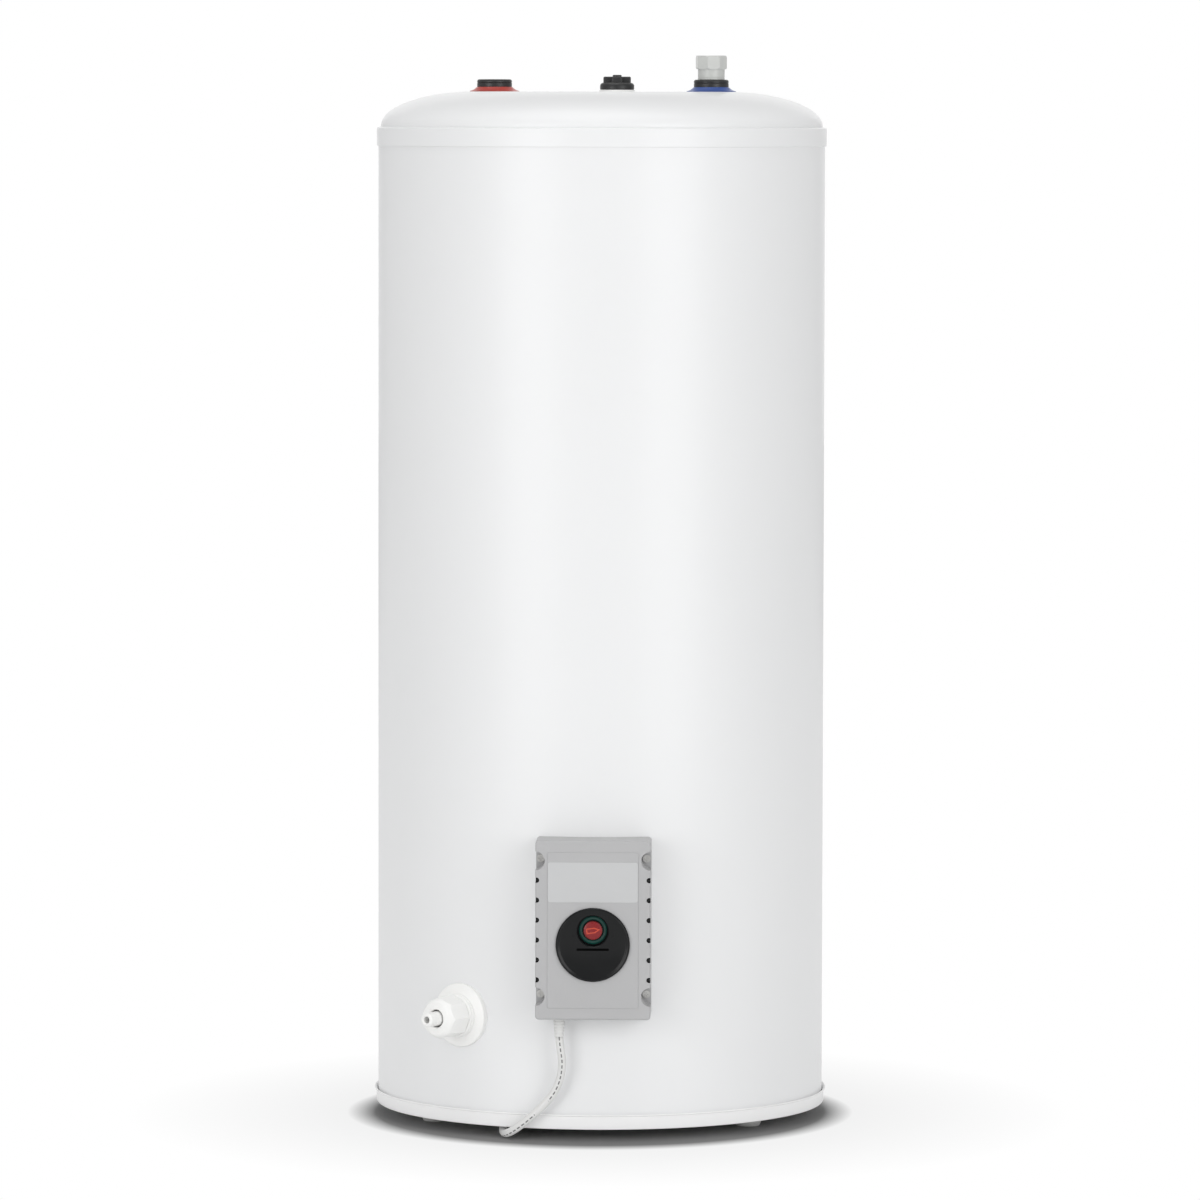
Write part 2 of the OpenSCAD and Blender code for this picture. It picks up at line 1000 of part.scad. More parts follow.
module cord_gland() {
    low = box_z - gland_l;
    color("white")
        translate([gland_x, gland_y, 0])
            difference() {
                union() {
                    translate([0, 0, low])
                        cylinder(r1 = cord_r + 0.7, r2 = 6.1, h = gland_l);
                    rod(6.1, box_z, box_z + box_wall + 5);
                    rod(8.5, box_z + box_wall + 0.1, box_z + box_wall + 4);
                }
                rod(cord_r - 1, low + 4, box_z + 30);
                rod(cord_r - 1, low - 1, low + 5);
            }
}

// ---------- drain cock ----------

module drain_boss() {
    color("slategray")
        difference() {
            facing_drain()
                tube(boss_r - 3, spigot_r + 0.05, tank_r - 16, boss_face);
            cylinder(r = tank_inner_r, h = crown_z, $fn = 120);
        }
}

module drain_valve_body() {
    seat_bore_r = 4;
    color("white")
        facing_drain()
            difference() {
                union() {
                    rod(spigot_r, spigot_in, boss_face);
                    rod(cock_r, boss_face, collar_in);
                    rod(23, collar_in, collar_in + 6);
                    rod(cock_neck_r, collar_in + 6, cock_neck_end);
                }
                rod(seat_bore_r, spigot_in - 1, boss_face + 1);
                rod(shank_r + running, boss_face, cock_neck_end + 1);
            }
}

module drain_escutcheon() {
    r = escutcheon_d / 2;
    color("white")
        difference() {
            facing_drain()
                rotate_extrude()
                    polygon([
                        [cock_r + gap, casing_r - 9], [r, casing_r - 9], [r, casing_r + 2.6],
                        [r - 1.5, casing_r + 3.6], [25, collar_in], [cock_r + gap, collar_in]
                    ]);
            casing_core(gap);
        }
}

// Slides out of its seat as the handle is turned, and carries the nozzle
module drain_stem() {
    shoulder = stem_seat + 14;
    color("white")
        facing_drain()
            difference() {
                union() {
                    rod(5.5, stem_seat, shoulder);
                    difference() {
                        rod(shank_r, shoulder, nozzle_start);
                        tube(shank_r + 1, groove_r, seal_at - 1.1, seal_at + 1.1);
                    }
                    rod(nozzle_d / 2, nozzle_start - 1, nozzle_tip);
                    rod(cock_neck_r, drive_flange, drive_flange + drive_flange_t);
                }
                rod(nozzle_bore_r, stem_seat + 7, nozzle_tip + 1);
                translate([0, 0, stem_seat + 9])
                    rotate([0, 90, 0])
                        translate([0, 0, -8])
                            cylinder(r = 1.8, h = 16, $fn = 24);
            }
}

module drain_seal() {
    color("black")
        facing_drain()
            translate([0, 0, seal_at])
                rotate_extrude()
                    translate([groove_r + seal_wire_r + 0.02, 0])
                        circle(r = seal_wire_r, $fn = 24);
}

module drain_handle() {
    face_r = handle_w / 2 - 2.5;
    bore_end = drive_flange + drive_flange_t + drain_lift + 2;
    color("whitesmoke")
        facing_drain()
            difference() {
                intersection() {
                    rotate([0, 0, 22.5])
                        translate([0, 0, handle_back])
                            cylinder(
                                r = handle_w / 2 / cos(22.5), h = handle_front - handle_back, $fn = 8
                            );
                    union() {
                        rod(handle_w, handle_back, handle_front - 7);
                        translate([0, 0, handle_front - 7])
                            cylinder(r1 = handle_w / 2 + 2, r2 = face_r, h = 7);
                    }
                }
                rod(cock_neck_r + running, handle_back - 1, bore_end);
                rod(shank_r + 1.6, bore_end - 1, handle_front + 1);
            }
}

// ---------- lead ----------

module cord_run() {
    color("white")
        sweep(run_points, cord_r, 8);
}

module cord_coil() {
    color("white")
        translate([coil_at[0], coil_at[1], 0])
            tube(coil_r + cord_r + 0.4, coil_r - cord_r - 0.4, coil_low, coil_low + coil_h);
}

module cord_tail() {
    color("white")
        sweep(tail_points, cord_r, 8);
}

module cord_tie() {
    w = cord_d + 0.8 + 2 * gap;
    color("black")
        translate([coil_at[0], coil_at[1], 0])
            rotate([0, 0, tie_turn])
                translate([coil_r, -tie_w / 2, coil_low])
                    difference() {
                        translate([-w / 2 - tie_t, 0, -tie_t])
                            cube([w + 2 * tie_t, tie_w, coil_h + 2 * tie_t + gap]);
                        translate([-w / 2, -1, 0])
                            cube([w, tie_w + 2, coil_h + gap]);
                    }
}

module along_plug() {
    translate(plug_at)
        rotate([0, 90, 0])
            children();
}

module plug_body() {
    color("white")
        along_plug() {
            cylinder(r1 = cord_r + 1, r2 = 7.5, h = plug_relief_l);
            translate([-plug_t / 2, -plug_w / 2 + 7, plug_relief_l])
                cube([plug_t, plug_w - 14, 12]);
            translate([0, 0, plug_relief_l + 12])
                linear_extrude(plug_l - 12)
                    rotate(90)
                        rounded_bar(plug_w, plug_t, 6);
        }
}

// Two slanted blades and an upright earth blade
module plug_pins() {
    blade = [1.6, 6.3, pin_l];
    top = plug_relief_l + plug_l;
    color("gold")
        along_plug() {
            for (side = [-1, 1])
                translate([-3.2, side * 7.9, top])
                    rotate([0, 0, side * 30])
                        translate([-blade[0] / 2, -blade[1] / 2, 0])
                            cube(blade);
            translate([3.4, -blade[0] / 2, top])
                cube([blade[1], blade[0], pin_l + 3]);
        }
}

bottom_cover();
feet();
outer_casing();
top_cover();
foam_insulation();
tank_shell();
tank_top_head();
tank_bottom_head();
tank_stand();
hot_boss();
cold_boss();
anode_boss();
hot_nipple();
cold_nipple();
hot_liner();
dip_tube();
hot_rosette();
cold_rosette();
hot_collar();
cold_collar();
anode_washer();
anode_plug();
anode_stud();
anode_rod();
inlet_valve_body();
inlet_poppet();
inlet_spring();
inlet_retainer();
element_neck();
element_gasket();
element_flange();
flange_bolts();
heating_element();
thermowell();
thermostat_bulb();
thermostat_body();
thermostat_knob();
reset_button();
control_base();
control_cover();
cover_screws();
dial_bezel();
scale_ring();
rating_plate();
terminal_block();
wiring();
cord_gland();
drain_boss();
drain_valve_body();
drain_escutcheon();
drain_stem();
drain_seal();
drain_handle();
cord_run();
cord_coil();
cord_tail();
cord_tie();
plug_body();
plug_pins();
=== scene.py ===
import json
import math
from types import SimpleNamespace

import bmesh
import bpy
from mathutils import Matrix, Vector


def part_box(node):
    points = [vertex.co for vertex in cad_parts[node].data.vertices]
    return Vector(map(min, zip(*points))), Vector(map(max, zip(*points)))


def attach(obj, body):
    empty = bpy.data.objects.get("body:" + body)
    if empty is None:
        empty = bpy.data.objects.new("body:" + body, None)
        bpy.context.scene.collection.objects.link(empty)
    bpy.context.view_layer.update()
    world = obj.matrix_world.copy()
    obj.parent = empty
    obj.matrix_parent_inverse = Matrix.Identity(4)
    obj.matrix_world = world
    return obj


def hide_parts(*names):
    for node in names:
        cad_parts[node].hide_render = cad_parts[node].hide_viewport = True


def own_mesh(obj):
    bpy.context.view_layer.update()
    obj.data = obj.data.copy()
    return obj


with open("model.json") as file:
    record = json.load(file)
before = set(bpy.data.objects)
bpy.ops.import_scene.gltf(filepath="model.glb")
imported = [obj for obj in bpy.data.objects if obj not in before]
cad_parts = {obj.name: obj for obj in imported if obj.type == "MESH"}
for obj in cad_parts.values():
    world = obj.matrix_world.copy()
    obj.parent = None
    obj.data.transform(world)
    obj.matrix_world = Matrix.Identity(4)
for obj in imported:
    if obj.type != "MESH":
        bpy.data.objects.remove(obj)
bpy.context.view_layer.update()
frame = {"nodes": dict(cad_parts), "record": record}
scene = bpy.context.scene
mm = 0.001
root = "tank_assembly"
print("frame loaded")


def turned(degrees, axis="Z"):
    return Matrix.Rotation(math.radians(degrees), 4, axis)


def moved(x, y, z):
    return Matrix.Translation((x * mm, y * mm, z * mm))


# A CAD node's two corners, in millimetres
def corners(node):
    return [SimpleNamespace(x=c.x / mm, y=c.y / mm, z=c.z / mm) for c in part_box(node)]


camera = {
    "distance": 7.755,  # from the axis of the tank
    "height": 1.065,
    "lens": 220.67,
    "yaw": 1.6,  # to the right of the front, degrees
    "tilt": 3.85,
    "roll": 0.11,
    "shiftX": -0.0008,
}


def makeCamera():
    data = bpy.data.cameras.new("studioCamera")
    data.lens = camera["lens"]
    data.sensor_width = 36
    data.sensor_fit = "HORIZONTAL"
    data.shift_x = camera["shiftX"]
    data.clip_end = 60
    obj = bpy.data.objects.new("studioCamera", data)
    scene.collection.objects.link(obj)
    yaw = math.radians(camera["yaw"])
    place = Vector((math.sin(yaw), -math.cos(yaw), 0)) * camera["distance"]
    place.z = camera["height"]
    aim = turned(camera["yaw"]) @ turned(90 - camera["tilt"], "X") @ turned(camera["roll"])
    obj.matrix_world = Matrix.Translation(place) @ aim
    scene.camera = obj


makeCamera()


def newGroup(name, inputs, outputs):
    group = bpy.data.node_groups.new(name, "ShaderNodeTree")
    for label, kind, value in inputs:
        socket = group.interface.new_socket(label, in_out="INPUT", socket_type=kind)
        socket.default_value = value
    for label, kind in outputs:
        group.interface.new_socket(label, in_out="OUTPUT", socket_type=kind)
    return group, group.nodes.new("NodeGroupInput"), group.nodes.new("NodeGroupOutput")


def addNode(tree, kind, **values):
    node = tree.nodes.new(kind)
    for key, value in values.items():
        setattr(node, key, value)
    return node


def mathNode(tree, operation, first, second, clamp=False):
    node = addNode(tree, "ShaderNodeMath", operation=operation, use_clamp=clamp)
    for socket, value in zip(node.inputs, (first, second)):
        if isinstance(value, (int, float)):
            socket.default_value = value
        else:
            tree.links.new(value, socket)
    return node.outputs[0]


def mixColor(tree, factor, first, second):
    node = addNode(tree, "ShaderNodeMix", data_type="RGBA")
    for socket, value in zip((node.inputs[0], node.inputs[6], node.inputs[7]), (factor, first, second)):
        if isinstance(value, (int, float, tuple)):
            socket.default_value = value
        else:
            tree.links.new(value, socket)
    return node.outputs[2]


# Slow mottle in colour and gloss, with a fine grain for the bump
def makeFinishGroup():
    group, given, result = newGroup(
        "finishGrain",
        [
            ("Color", "NodeSocketColor", (0.8, 0.8, 0.8, 1)),
            ("Second Color", "NodeSocketColor", (0.7, 0.7, 0.7, 1)),
            ("Mottle Scale", "NodeSocketFloat", 9.0),
            ("Mottle", "NodeSocketFloat", 0.5),
            ("Grain Scale", "NodeSocketFloat", 500.0),
            ("Grain", "NodeSocketFloat", 0.5),
            ("Roughness", "NodeSocketFloat", 0.4),
            ("Roughness Spread", "NodeSocketFloat", 0.1),
            ("Stretch", "NodeSocketVector", (1.0, 1.0, 1.0)),
        ],
        [("Color", "NodeSocketColor"), ("Roughness", "NodeSocketFloat"), ("Height", "NodeSocketFloat")],
    )
    links = group.links
    coords = group.nodes.new("ShaderNodeTexCoord")
    mapping = group.nodes.new("ShaderNodeMapping")
    links.new(coords.outputs["Object"], mapping.inputs["Vector"])
    links.new(given.outputs["Stretch"], mapping.inputs["Scale"])
    slow = addNode(group, "ShaderNodeTexNoise")
    slow.inputs["Detail"].default_value = 3
    fine = addNode(group, "ShaderNodeTexNoise")
    fine.inputs["Detail"].default_value = 2
    links.new(coords.outputs["Object"], slow.inputs["Vector"])
    links.new(mapping.outputs["Vector"], fine.inputs["Vector"])
    links.new(given.outputs["Mottle Scale"], slow.inputs["Scale"])
    links.new(given.outputs["Grain Scale"], fine.inputs["Scale"])
    amount = mathNode(group, "MULTIPLY", slow.outputs["Fac"], given.outputs["Mottle"], True)
    color = mixColor(group, amount, given.outputs["Color"], given.outputs["Second Color"])
    links.new(color, result.inputs["Color"])
    total = given.outputs["Roughness"]
    for noise in (slow, fine):
        swing = mathNode(group, "SUBTRACT", noise.outputs["Fac"], 0.5)
        swing = mathNode(group, "MULTIPLY", swing, given.outputs["Roughness Spread"])
        total = mathNode(group, "ADD", total, swing, noise is fine)
    links.new(total, result.inputs["Roughness"])
    height = mathNode(group, "MULTIPLY", fine.outputs["Fac"], given.outputs["Grain"])
    links.new(height, result.inputs["Height"])
    return group


# Dust that settles on faces turned up
def makeDustGroup():
    group, given, result = newGroup(
        "settledDust",
        [
            ("Color", "NodeSocketColor", (0.8, 0.8, 0.8, 1)),
            ("Dust Color", "NodeSocketColor", (0.62, 0.6, 0.56, 1)),
            ("Amount", "NodeSocketFloat", 0.15),
            ("Roughness", "NodeSocketFloat", 0.4),
        ],
        [("Color", "NodeSocketColor"), ("Roughness", "NodeSocketFloat")],
    )
    links = group.links
    geometry = group.nodes.new("ShaderNodeNewGeometry")
    coords = group.nodes.new("ShaderNodeTexCoord")
    split = group.nodes.new("ShaderNodeSeparateXYZ")
    links.new(geometry.outputs["Normal"], split.inputs[0])
    facingUp = mathNode(group, "POWER", mathNode(group, "MAXIMUM", split.outputs["Z"], 0.0), 3.0)
    noise = addNode(group, "ShaderNodeTexNoise")
    noise.inputs["Scale"].default_value = 23
    noise.inputs["Detail"].default_value = 4
    links.new(coords.outputs["Object"], noise.inputs["Vector"])
    patch = mathNode(group, "MULTIPLY", facingUp, noise.outputs["Fac"])
    mask = mathNode(group, "MULTIPLY", patch, given.outputs["Amount"], True)
    color = mixColor(group, mask, given.outputs["Color"], given.outputs["Dust Color"])
    links.new(color, result.inputs["Color"])
    rougher = mathNode(group, "MULTIPLY", mask, 0.5)
    links.new(mathNode(group, "ADD", given.outputs["Roughness"], rougher, True), result.inputs["Roughness"])
    return group


finishGroup = makeFinishGroup()
dustGroup = makeDustGroup()


def shade(value):
    return (value, value, value, 1)


finishes = {
    "white_enamel": {
        "color": (0.83, 0.835, 0.84), "second": (0.8, 0.805, 0.81), "mottle": (4, 0.6),
        "grain": (42, 0.5), "rough": 0.4, "spread": 0.03, "bump": 0.012, "coat": 0.08, "dust": 0.06,
    },
    "foot_plastic": {
        "color": (0.6, 0.6, 0.59), "second": (0.5, 0.5, 0.49), "mottle": (60, 0.8),
        "grain": (900, 0.8), "rough": 0.55, "spread": 0.2, "bump": 0.2, "dust": 0.2,
    },
    "foam": {
        "color": (0.85, 0.76, 0.45), "second": (0.74, 0.6, 0.3), "mottle": (30, 0.9),
        "grain": (260, 1), "rough": 0.9, "spread": 0.1, "bump": 0.6,
    },
    "tank_enamel": {
        "color": (0.07, 0.12, 0.2), "second": (0.04, 0.07, 0.12), "mottle": (14, 0.9),
        "grain": (400, 0.6), "rough": 0.35, "spread": 0.15, "bump": 0.15,
    },
    "bare_steel": {
        "color": (0.6, 0.6, 0.59), "second": (0.46, 0.45, 0.43), "mottle": (80, 0.9),
        "grain": (900, 0.8), "rough": 0.32, "spread": 0.2, "bump": 0.15, "metal": 1,
        "stretch": (1, 1, 0.05),
    },
    "ivory_plastic": {
        "color": (0.8, 0.77, 0.68), "second": (0.72, 0.68, 0.58), "mottle": (40, 0.7),
        "grain": (800, 0.6), "rough": 0.45, "spread": 0.12, "bump": 0.12,
    },
    "red_plastic": {
        "color": (0.5, 0.04, 0.025), "second": (0.38, 0.025, 0.016), "mottle": (70, 0.8),
        "grain": (700, 0.6), "rough": 0.3, "spread": 0.14, "bump": 0.1, "dust": 0.12,
    },
    "blue_plastic": {
        "color": (0.025, 0.085, 0.36), "second": (0.018, 0.06, 0.26), "mottle": (70, 0.8),
        "grain": (700, 0.6), "rough": 0.3, "spread": 0.14, "bump": 0.1, "dust": 0.12,
    },
    "black_plastic": {
        "color": (0.014, 0.014, 0.015), "second": (0.026, 0.026, 0.027), "mottle": (60, 0.8),
        "grain": (900, 0.8), "rough": 0.36, "spread": 0.16, "bump": 0.16, "dust": 0.1,
    },
    "white_plastic": {
        "color": (0.93, 0.93, 0.915), "second": (0.9, 0.9, 0.885), "mottle": (50, 0.7),
        "grain": (700, 0.6), "rough": 0.33, "spread": 0.12, "bump": 0.1, "dust": 0.1,
    },
    "orange_plastic": {
        "color": (0.72, 0.22, 0.03), "second": (0.6, 0.16, 0.02), "mottle": (50, 0.8),
        "grain": (700, 0.6), "rough": 0.4, "spread": 0.12, "bump": 0.1,
    },
    "magnesium": {
        "color": (0.5, 0.51, 0.52), "second": (0.36, 0.37, 0.38), "mottle": (40, 0.9),
        "grain": (300, 1), "rough": 0.6, "spread": 0.2, "bump": 0.5, "metal": 1,
    },
    "black_rubber": {
        "color": (0.016, 0.016, 0.016), "second": (0.03, 0.03, 0.03), "mottle": (60, 0.8),
        "grain": (900, 1), "rough": 0.7, "spread": 0.15, "bump": 0.25,
    },
    "brass": {
        "color": (0.72, 0.52, 0.2), "second": (0.56, 0.38, 0.14), "mottle": (60, 0.9),
        "grain": (900, 0.7), "rough": 0.3, "spread": 0.16, "bump": 0.12, "metal": 1,
        "stretch": (0.1, 1, 1),
    },
    "copper_sheath": {
        "color": (0.66, 0.34, 0.2), "second": (0.48, 0.24, 0.15), "mottle": (50, 0.9),
        "grain": (600, 0.7), "rough": 0.36, "spread": 0.16, "bump": 0.15, "metal": 1,
    },
    "dark_moulding": {
        "color": (0.04, 0.04, 0.043), "second": (0.06, 0.06, 0.062), "mottle": (40, 0.8),
        "grain": (600, 1), "rough": 0.6, "spread": 0.15, "bump": 0.3,
    },
    "knob_red": {
        "color": (0.3, 0.006, 0.008), "second": (0.2, 0.004, 0.006), "mottle": (150, 0.8),
        "grain": (900, 0.6), "rough": 0.3, "spread": 0.16, "bump": 0.1,
    },
    "grey_plastic": {
        "color": (0.465, 0.465, 0.47), "second": (0.435, 0.435, 0.44), "mottle": (12, 0.8),
        "grain": (1100, 1), "rough": 0.42, "spread": 0.1, "bump": 0.14, "dust": 0.12,
    },
    "bezel_black": {
        "color": (0.007, 0.0075, 0.008), "second": (0.011, 0.0115, 0.012), "mottle": (40, 0.8),
        "grain": (1200, 0.7), "rough": 0.2, "spread": 0.1, "bump": 0.06, "spec": 0.2,
    },
    "scale_green": {
        "color": (0.006, 0.09, 0.07), "second": (0.004, 0.055, 0.042), "mottle": (90, 0.8),
        "grain": (900, 0.6), "rough": 0.3, "spread": 0.1, "bump": 0.1,
    },
    "label_film": {
        "color": (0.56, 0.565, 0.57), "second": (0.53, 0.535, 0.54), "mottle": (20, 0.8),
        "grain": (900, 0.6), "rough": 0.34, "spread": 0.08, "bump": 0.05,
    },
    "wire_sheath": {
        "color": (0.28, 0.13, 0.06), "second": (0.2, 0.09, 0.04), "mottle": (60, 0.8),
        "grain": (700, 0.6), "rough": 0.45, "spread": 0.1, "bump": 0.1,
    },
    "lead_white": {
        "color": (0.76, 0.76, 0.75), "second": (0.7, 0.7, 0.69), "mottle": (45, 0.8),
        "grain": (800, 0.6), "rough": 0.38, "spread": 0.12, "bump": 0.1,
    },
    "tie_black": {
        "color": (0.016, 0.016, 0.016), "second": (0.03, 0.03, 0.03), "mottle": (80, 0.8),
        "grain": (900, 0.8), "rough": 0.45, "spread": 0.15, "bump": 0.2,
    },
}


def makeMaterial(name, look):
    material = bpy.data.materials.new(name)
    material.use_nodes = True
    tree = material.node_tree
    links = tree.links
    shader = tree.nodes["Principled BSDF"]
    grain = addNode(tree, "ShaderNodeGroup", node_tree=finishGroup)
    grain.inputs["Color"].default_value = (*look["color"], 1)
    grain.inputs["Second Color"].default_value = (*look["second"], 1)
    grain.inputs["Mottle Scale"].default_value, grain.inputs["Mottle"].default_value = look["mottle"]
    grain.inputs["Grain Scale"].default_value, grain.inputs["Grain"].default_value = look["grain"]
    grain.inputs["Roughness"].default_value = look["rough"]
    grain.inputs["Roughness Spread"].default_value = look["spread"]
    grain.inputs["Stretch"].default_value = look.get("stretch", (1, 1, 1))
    color, rough = grain.outputs["Color"], grain.outputs["Roughness"]
    if "dust" in look:
        dust = addNode(tree, "ShaderNodeGroup", node_tree=dustGroup)
        dust.inputs["Amount"].default_value = look["dust"]
        links.new(color, dust.inputs["Color"])
        links.new(rough, dust.inputs["Roughness"])
        color, rough = dust.outputs["Color"], dust.outputs["Roughness"]
    links.new(color, shader.inputs["Base Color"])
    links.new(rough, shader.inputs["Roughness"])
    bump = addNode(tree, "ShaderNodeBump")
    bump.inputs["Strength"].default_value = look["bump"]
    bump.inputs["Distance"].default_value = 0.0006
    links.new(grain.outputs["Height"], bump.inputs["Height"])
    links.new(bump.outputs["Normal"], shader.inputs["Normal"])
    shader.inputs["Metallic"].default_value = look.get("metal", 0)
    shader.inputs["Coat Weight"].default_value = look.get("coat", 0)
    shader.inputs["Coat Roughness"].default_value = 0.12
    shader.inputs["Specular IOR Level"].default_value = look.get("spec", 0.5)
    return material


# A finish with some values of its own
def variant(name, finish, **changes):
    return makeMaterial(name, dict(finishes[finish], **changes))


materials = {name: makeMaterial(name, look) for name, look in finishes.items()}
leadPrint = {"half": 0.024, "dashes": 170, "dashShare": 0.62, "words": 11, "wordShare": 0.78, "cover": 0.85}


# The lead's sheath has a row of printed dashes along one side, by its own UV map
def makeLeadMaterial():
    material = makeMaterial("lead_printed", finishes["lead_white"])
    tree = material.node_tree
    shader = tree.nodes["Principled BSDF"]
    plain = shader.inputs["Base Color"].links[0].from_socket
    uv = addNode(tree, "ShaderNodeUVMap", uv_map="along")
    split = tree.nodes.new("ShaderNodeSeparateXYZ")
    tree.links.new(uv.outputs["UV"], split.inputs[0])
    aside = mathNode(tree, "ABSOLUTE", mathNode(tree, "SUBTRACT", split.outputs["X"], 0.5), 0)
    mask = mathNode(tree, "LESS_THAN", aside, leadPrint["half"])
    for count, share in (("dashes", "dashShare"), ("words", "wordShare")):
        along = mathNode(tree, "MULTIPLY", split.outputs["Y"], leadPrint[count])
        on = mathNode(tree, "LESS_THAN", mathNode(tree, "FRACT", along, 0), leadPrint[share])
        mask = mathNode(tree, "MULTIPLY", mask, on)
    mask = mathNode(tree, "MULTIPLY", mask, leadPrint["cover"])
    tree.links.new(mixColor(tree, mask, plain, (0.05, 0.05, 0.05, 1)), shader.inputs["Base Color"])
    return material


leadPrinted = makeLeadMaterial()
slotOf = {row["node"]: row["material_slot"] for row in frame["record"]["subparts"]}
for nodeName, nodeObject in frame["nodes"].items():
    nodeObject.data.materials.clear()
    nodeObject.data.materials.append(materials[slotOf[nodeName]])


# Gives the spring a mesh of its own
def pressSpring():
    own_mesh(frame["nodes"]["inlet_spring"])


pressSpring()
print("materials made")


def facingFront(height):
    return moved(0, 0, height) @ turned(90, "X")


def onCrown(x):
    return moved(x, 0, heater["crown"])


def lathe(profile, steps=96, closed=True):
    bm = bmesh.new()
    verts = [bm.verts.new((r * mm, 0, z * mm)) for r, z in profile]
    ends = verts[1:] + verts[:1] if closed else verts[1:]
    edges = [bm.edges.new(pair) for pair in zip(verts, ends)]
    bmesh.ops.spin(
        bm, geom=verts + edges, cent=(0, 0, 0), axis=(0, 0, 1), dvec=(0, 0, 0),
        angle=math.tau, steps=steps, use_merge=True, use_duplicate=False,
    )
    bmesh.ops.remove_doubles(bm, verts=bm.verts, dist=1e-6)
    bmesh.ops.recalc_face_normals(bm, faces=bm.faces)
    return bm


def bevelEdges(bm, edges, width, segments):
    bmesh.ops.bevel(
        bm, geom=edges, offset=width * mm, offset_type="OFFSET", affect="EDGES",
        segments=segments, profile=0.5, material=-1,
    )


def block(width, depth, height, center, edge=0, segments=4, upright=False):
    bm = bmesh.new()
    bmesh.ops.create_cube(bm, size=1)
    bmesh.ops.scale(bm, vec=(width * mm, depth * mm, height * mm), verts=bm.verts)
    if edge:
        edges = bm.edges[:]
        if upright:
            edges = [e for e in edges if abs(e.verts[0].co.z - e.verts[1].co.z) > 1e-6]
        bevelEdges(bm, edges, edge, segments)
    bmesh.ops.translate(bm, vec=Vector(center) * mm, verts=bm.verts)
    return bm


def prism(radius, low, high, sides, turn=0):
    bm = bmesh.new()
    bmesh.ops.create_cone(
        bm, cap_ends=True, segments=sides, radius1=radius * mm, radius2=radius * mm,
        depth=(high - low) * mm,
    )
    bmesh.ops.translate(bm, vec=(0, 0, (high + low) / 2 * mm), verts=bm.verts)
    bmesh.ops.rotate(bm, verts=bm.verts, matrix=Matrix.Rotation(math.radians(turn), 3, "Z"))
    return bm


def joined(parts):
    mesh = bpy.data.meshes.new("joined")
    whole = bmesh.new()
    for part in parts:
        part.to_mesh(mesh)
        part.free()
        whole.from_mesh(mesh)
    bpy.data.meshes.remove(mesh)
    return whole


def meshFrom(bm, name, place=None):
    if place is not None:
        bmesh.ops.transform(bm, matrix=place, verts=bm.verts)
    for face in bm.faces:
        face.smooth = True
    mesh = bpy.data.meshes.new(name)
    bm.to_mesh(mesh)
    bm.free()
    return mesh


def addBevel(obj, width, segments=3, angle=30):
    bevel = obj.modifiers.new("softEdges", "BEVEL")
    bevel.width = width * mm
    bevel.segments = segments
    bevel.limit_method = "ANGLE"
    bevel.angle_limit = math.radians(angle)
    bevel.use_clamp_overlap = True
    bevel.harden_normals = True
    bevel.miter_outer = "MITER_ARC"


def addPiece(name, bm, body, slot, nodes=(), place=None, edge=0.5, segments=3, angle=30, look=None):
    mesh = meshFrom(bm, name, place)
    mesh.materials.append(look or materials[slot])
    obj = bpy.data.objects.new(name, mesh)
    scene.collection.objects.link(obj)
    if edge:
        addBevel(obj, edge, segments, angle)
    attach(obj, body)
    if nodes:
        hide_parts(*nodes)
    return obj


# Shapes a piece with cutters and fillers before its edges are softened
def carve(bm, steps, merge=True):
    base = bpy.data.objects.new("carved", meshFrom(bm, "carved"))
    scene.collection.objects.link(base)
    tools = []
    for operation, tool in steps:
        toolObject = bpy.data.objects.new("tool", meshFrom(tool, "tool"))
        scene.collection.objects.link(toolObject)
        tools.append(toolObject)
        boolean = base.modifiers.new("cut", "BOOLEAN")
        boolean.operation = operation
        boolean.solver = "EXACT"
        boolean.object = toolObject
    bpy.context.view_layer.update()
    graph = bpy.context.evaluated_depsgraph_get()
    result = bmesh.new()
    result.from_object(base, graph)
    for obj in [base] + tools:
        mesh = obj.data
        bpy.data.objects.remove(obj)
        bpy.data.meshes.remove(mesh)
    bmesh.ops.remove_doubles(result, verts=result.verts, dist=1e-6)
    if merge:
        bmesh.ops.dissolve_limit(
            result, angle_limit=math.radians(0.5), verts=result.verts, edges=result.edges
        )
    return result


def placed(bm, matrix):
    bmesh.ops.transform(bm, matrix=matrix, verts=bm.verts)
    return bm


# Helical thread ridge inside or outside a round wall
def threadRidge(radius, depth, pitch, low, turns, steps=48):
    bm = bmesh.new()
    half = pitch * 0.42
    section = [(radius, -half), (radius - depth, -0.1 * pitch), (radius - depth, 0.1 * pitch), (radius, half)]
    verts = [bm.verts.new((r * mm, 0, (low + z) * mm)) for r, z in section]
    edges = [bm.edges.new(pair) for pair in zip(verts, verts[1:])]
    count = int(turns * steps)
    bmesh.ops.spin(
        bm, geom=verts + edges, cent=(0, 0, 0), axis=(0, 0, 1),
        dvec=(0, 0, pitch / steps * mm), angle=math.tau * turns, steps=count,
        use_merge=False, use_duplicate=False,
    )
    bmesh.ops.holes_fill(bm, edges=bm.edges, sides=8)
    return bm


heater = {"radius": corners("outer_casing")[1].x, "crown": corners("top_cover")[1].z}

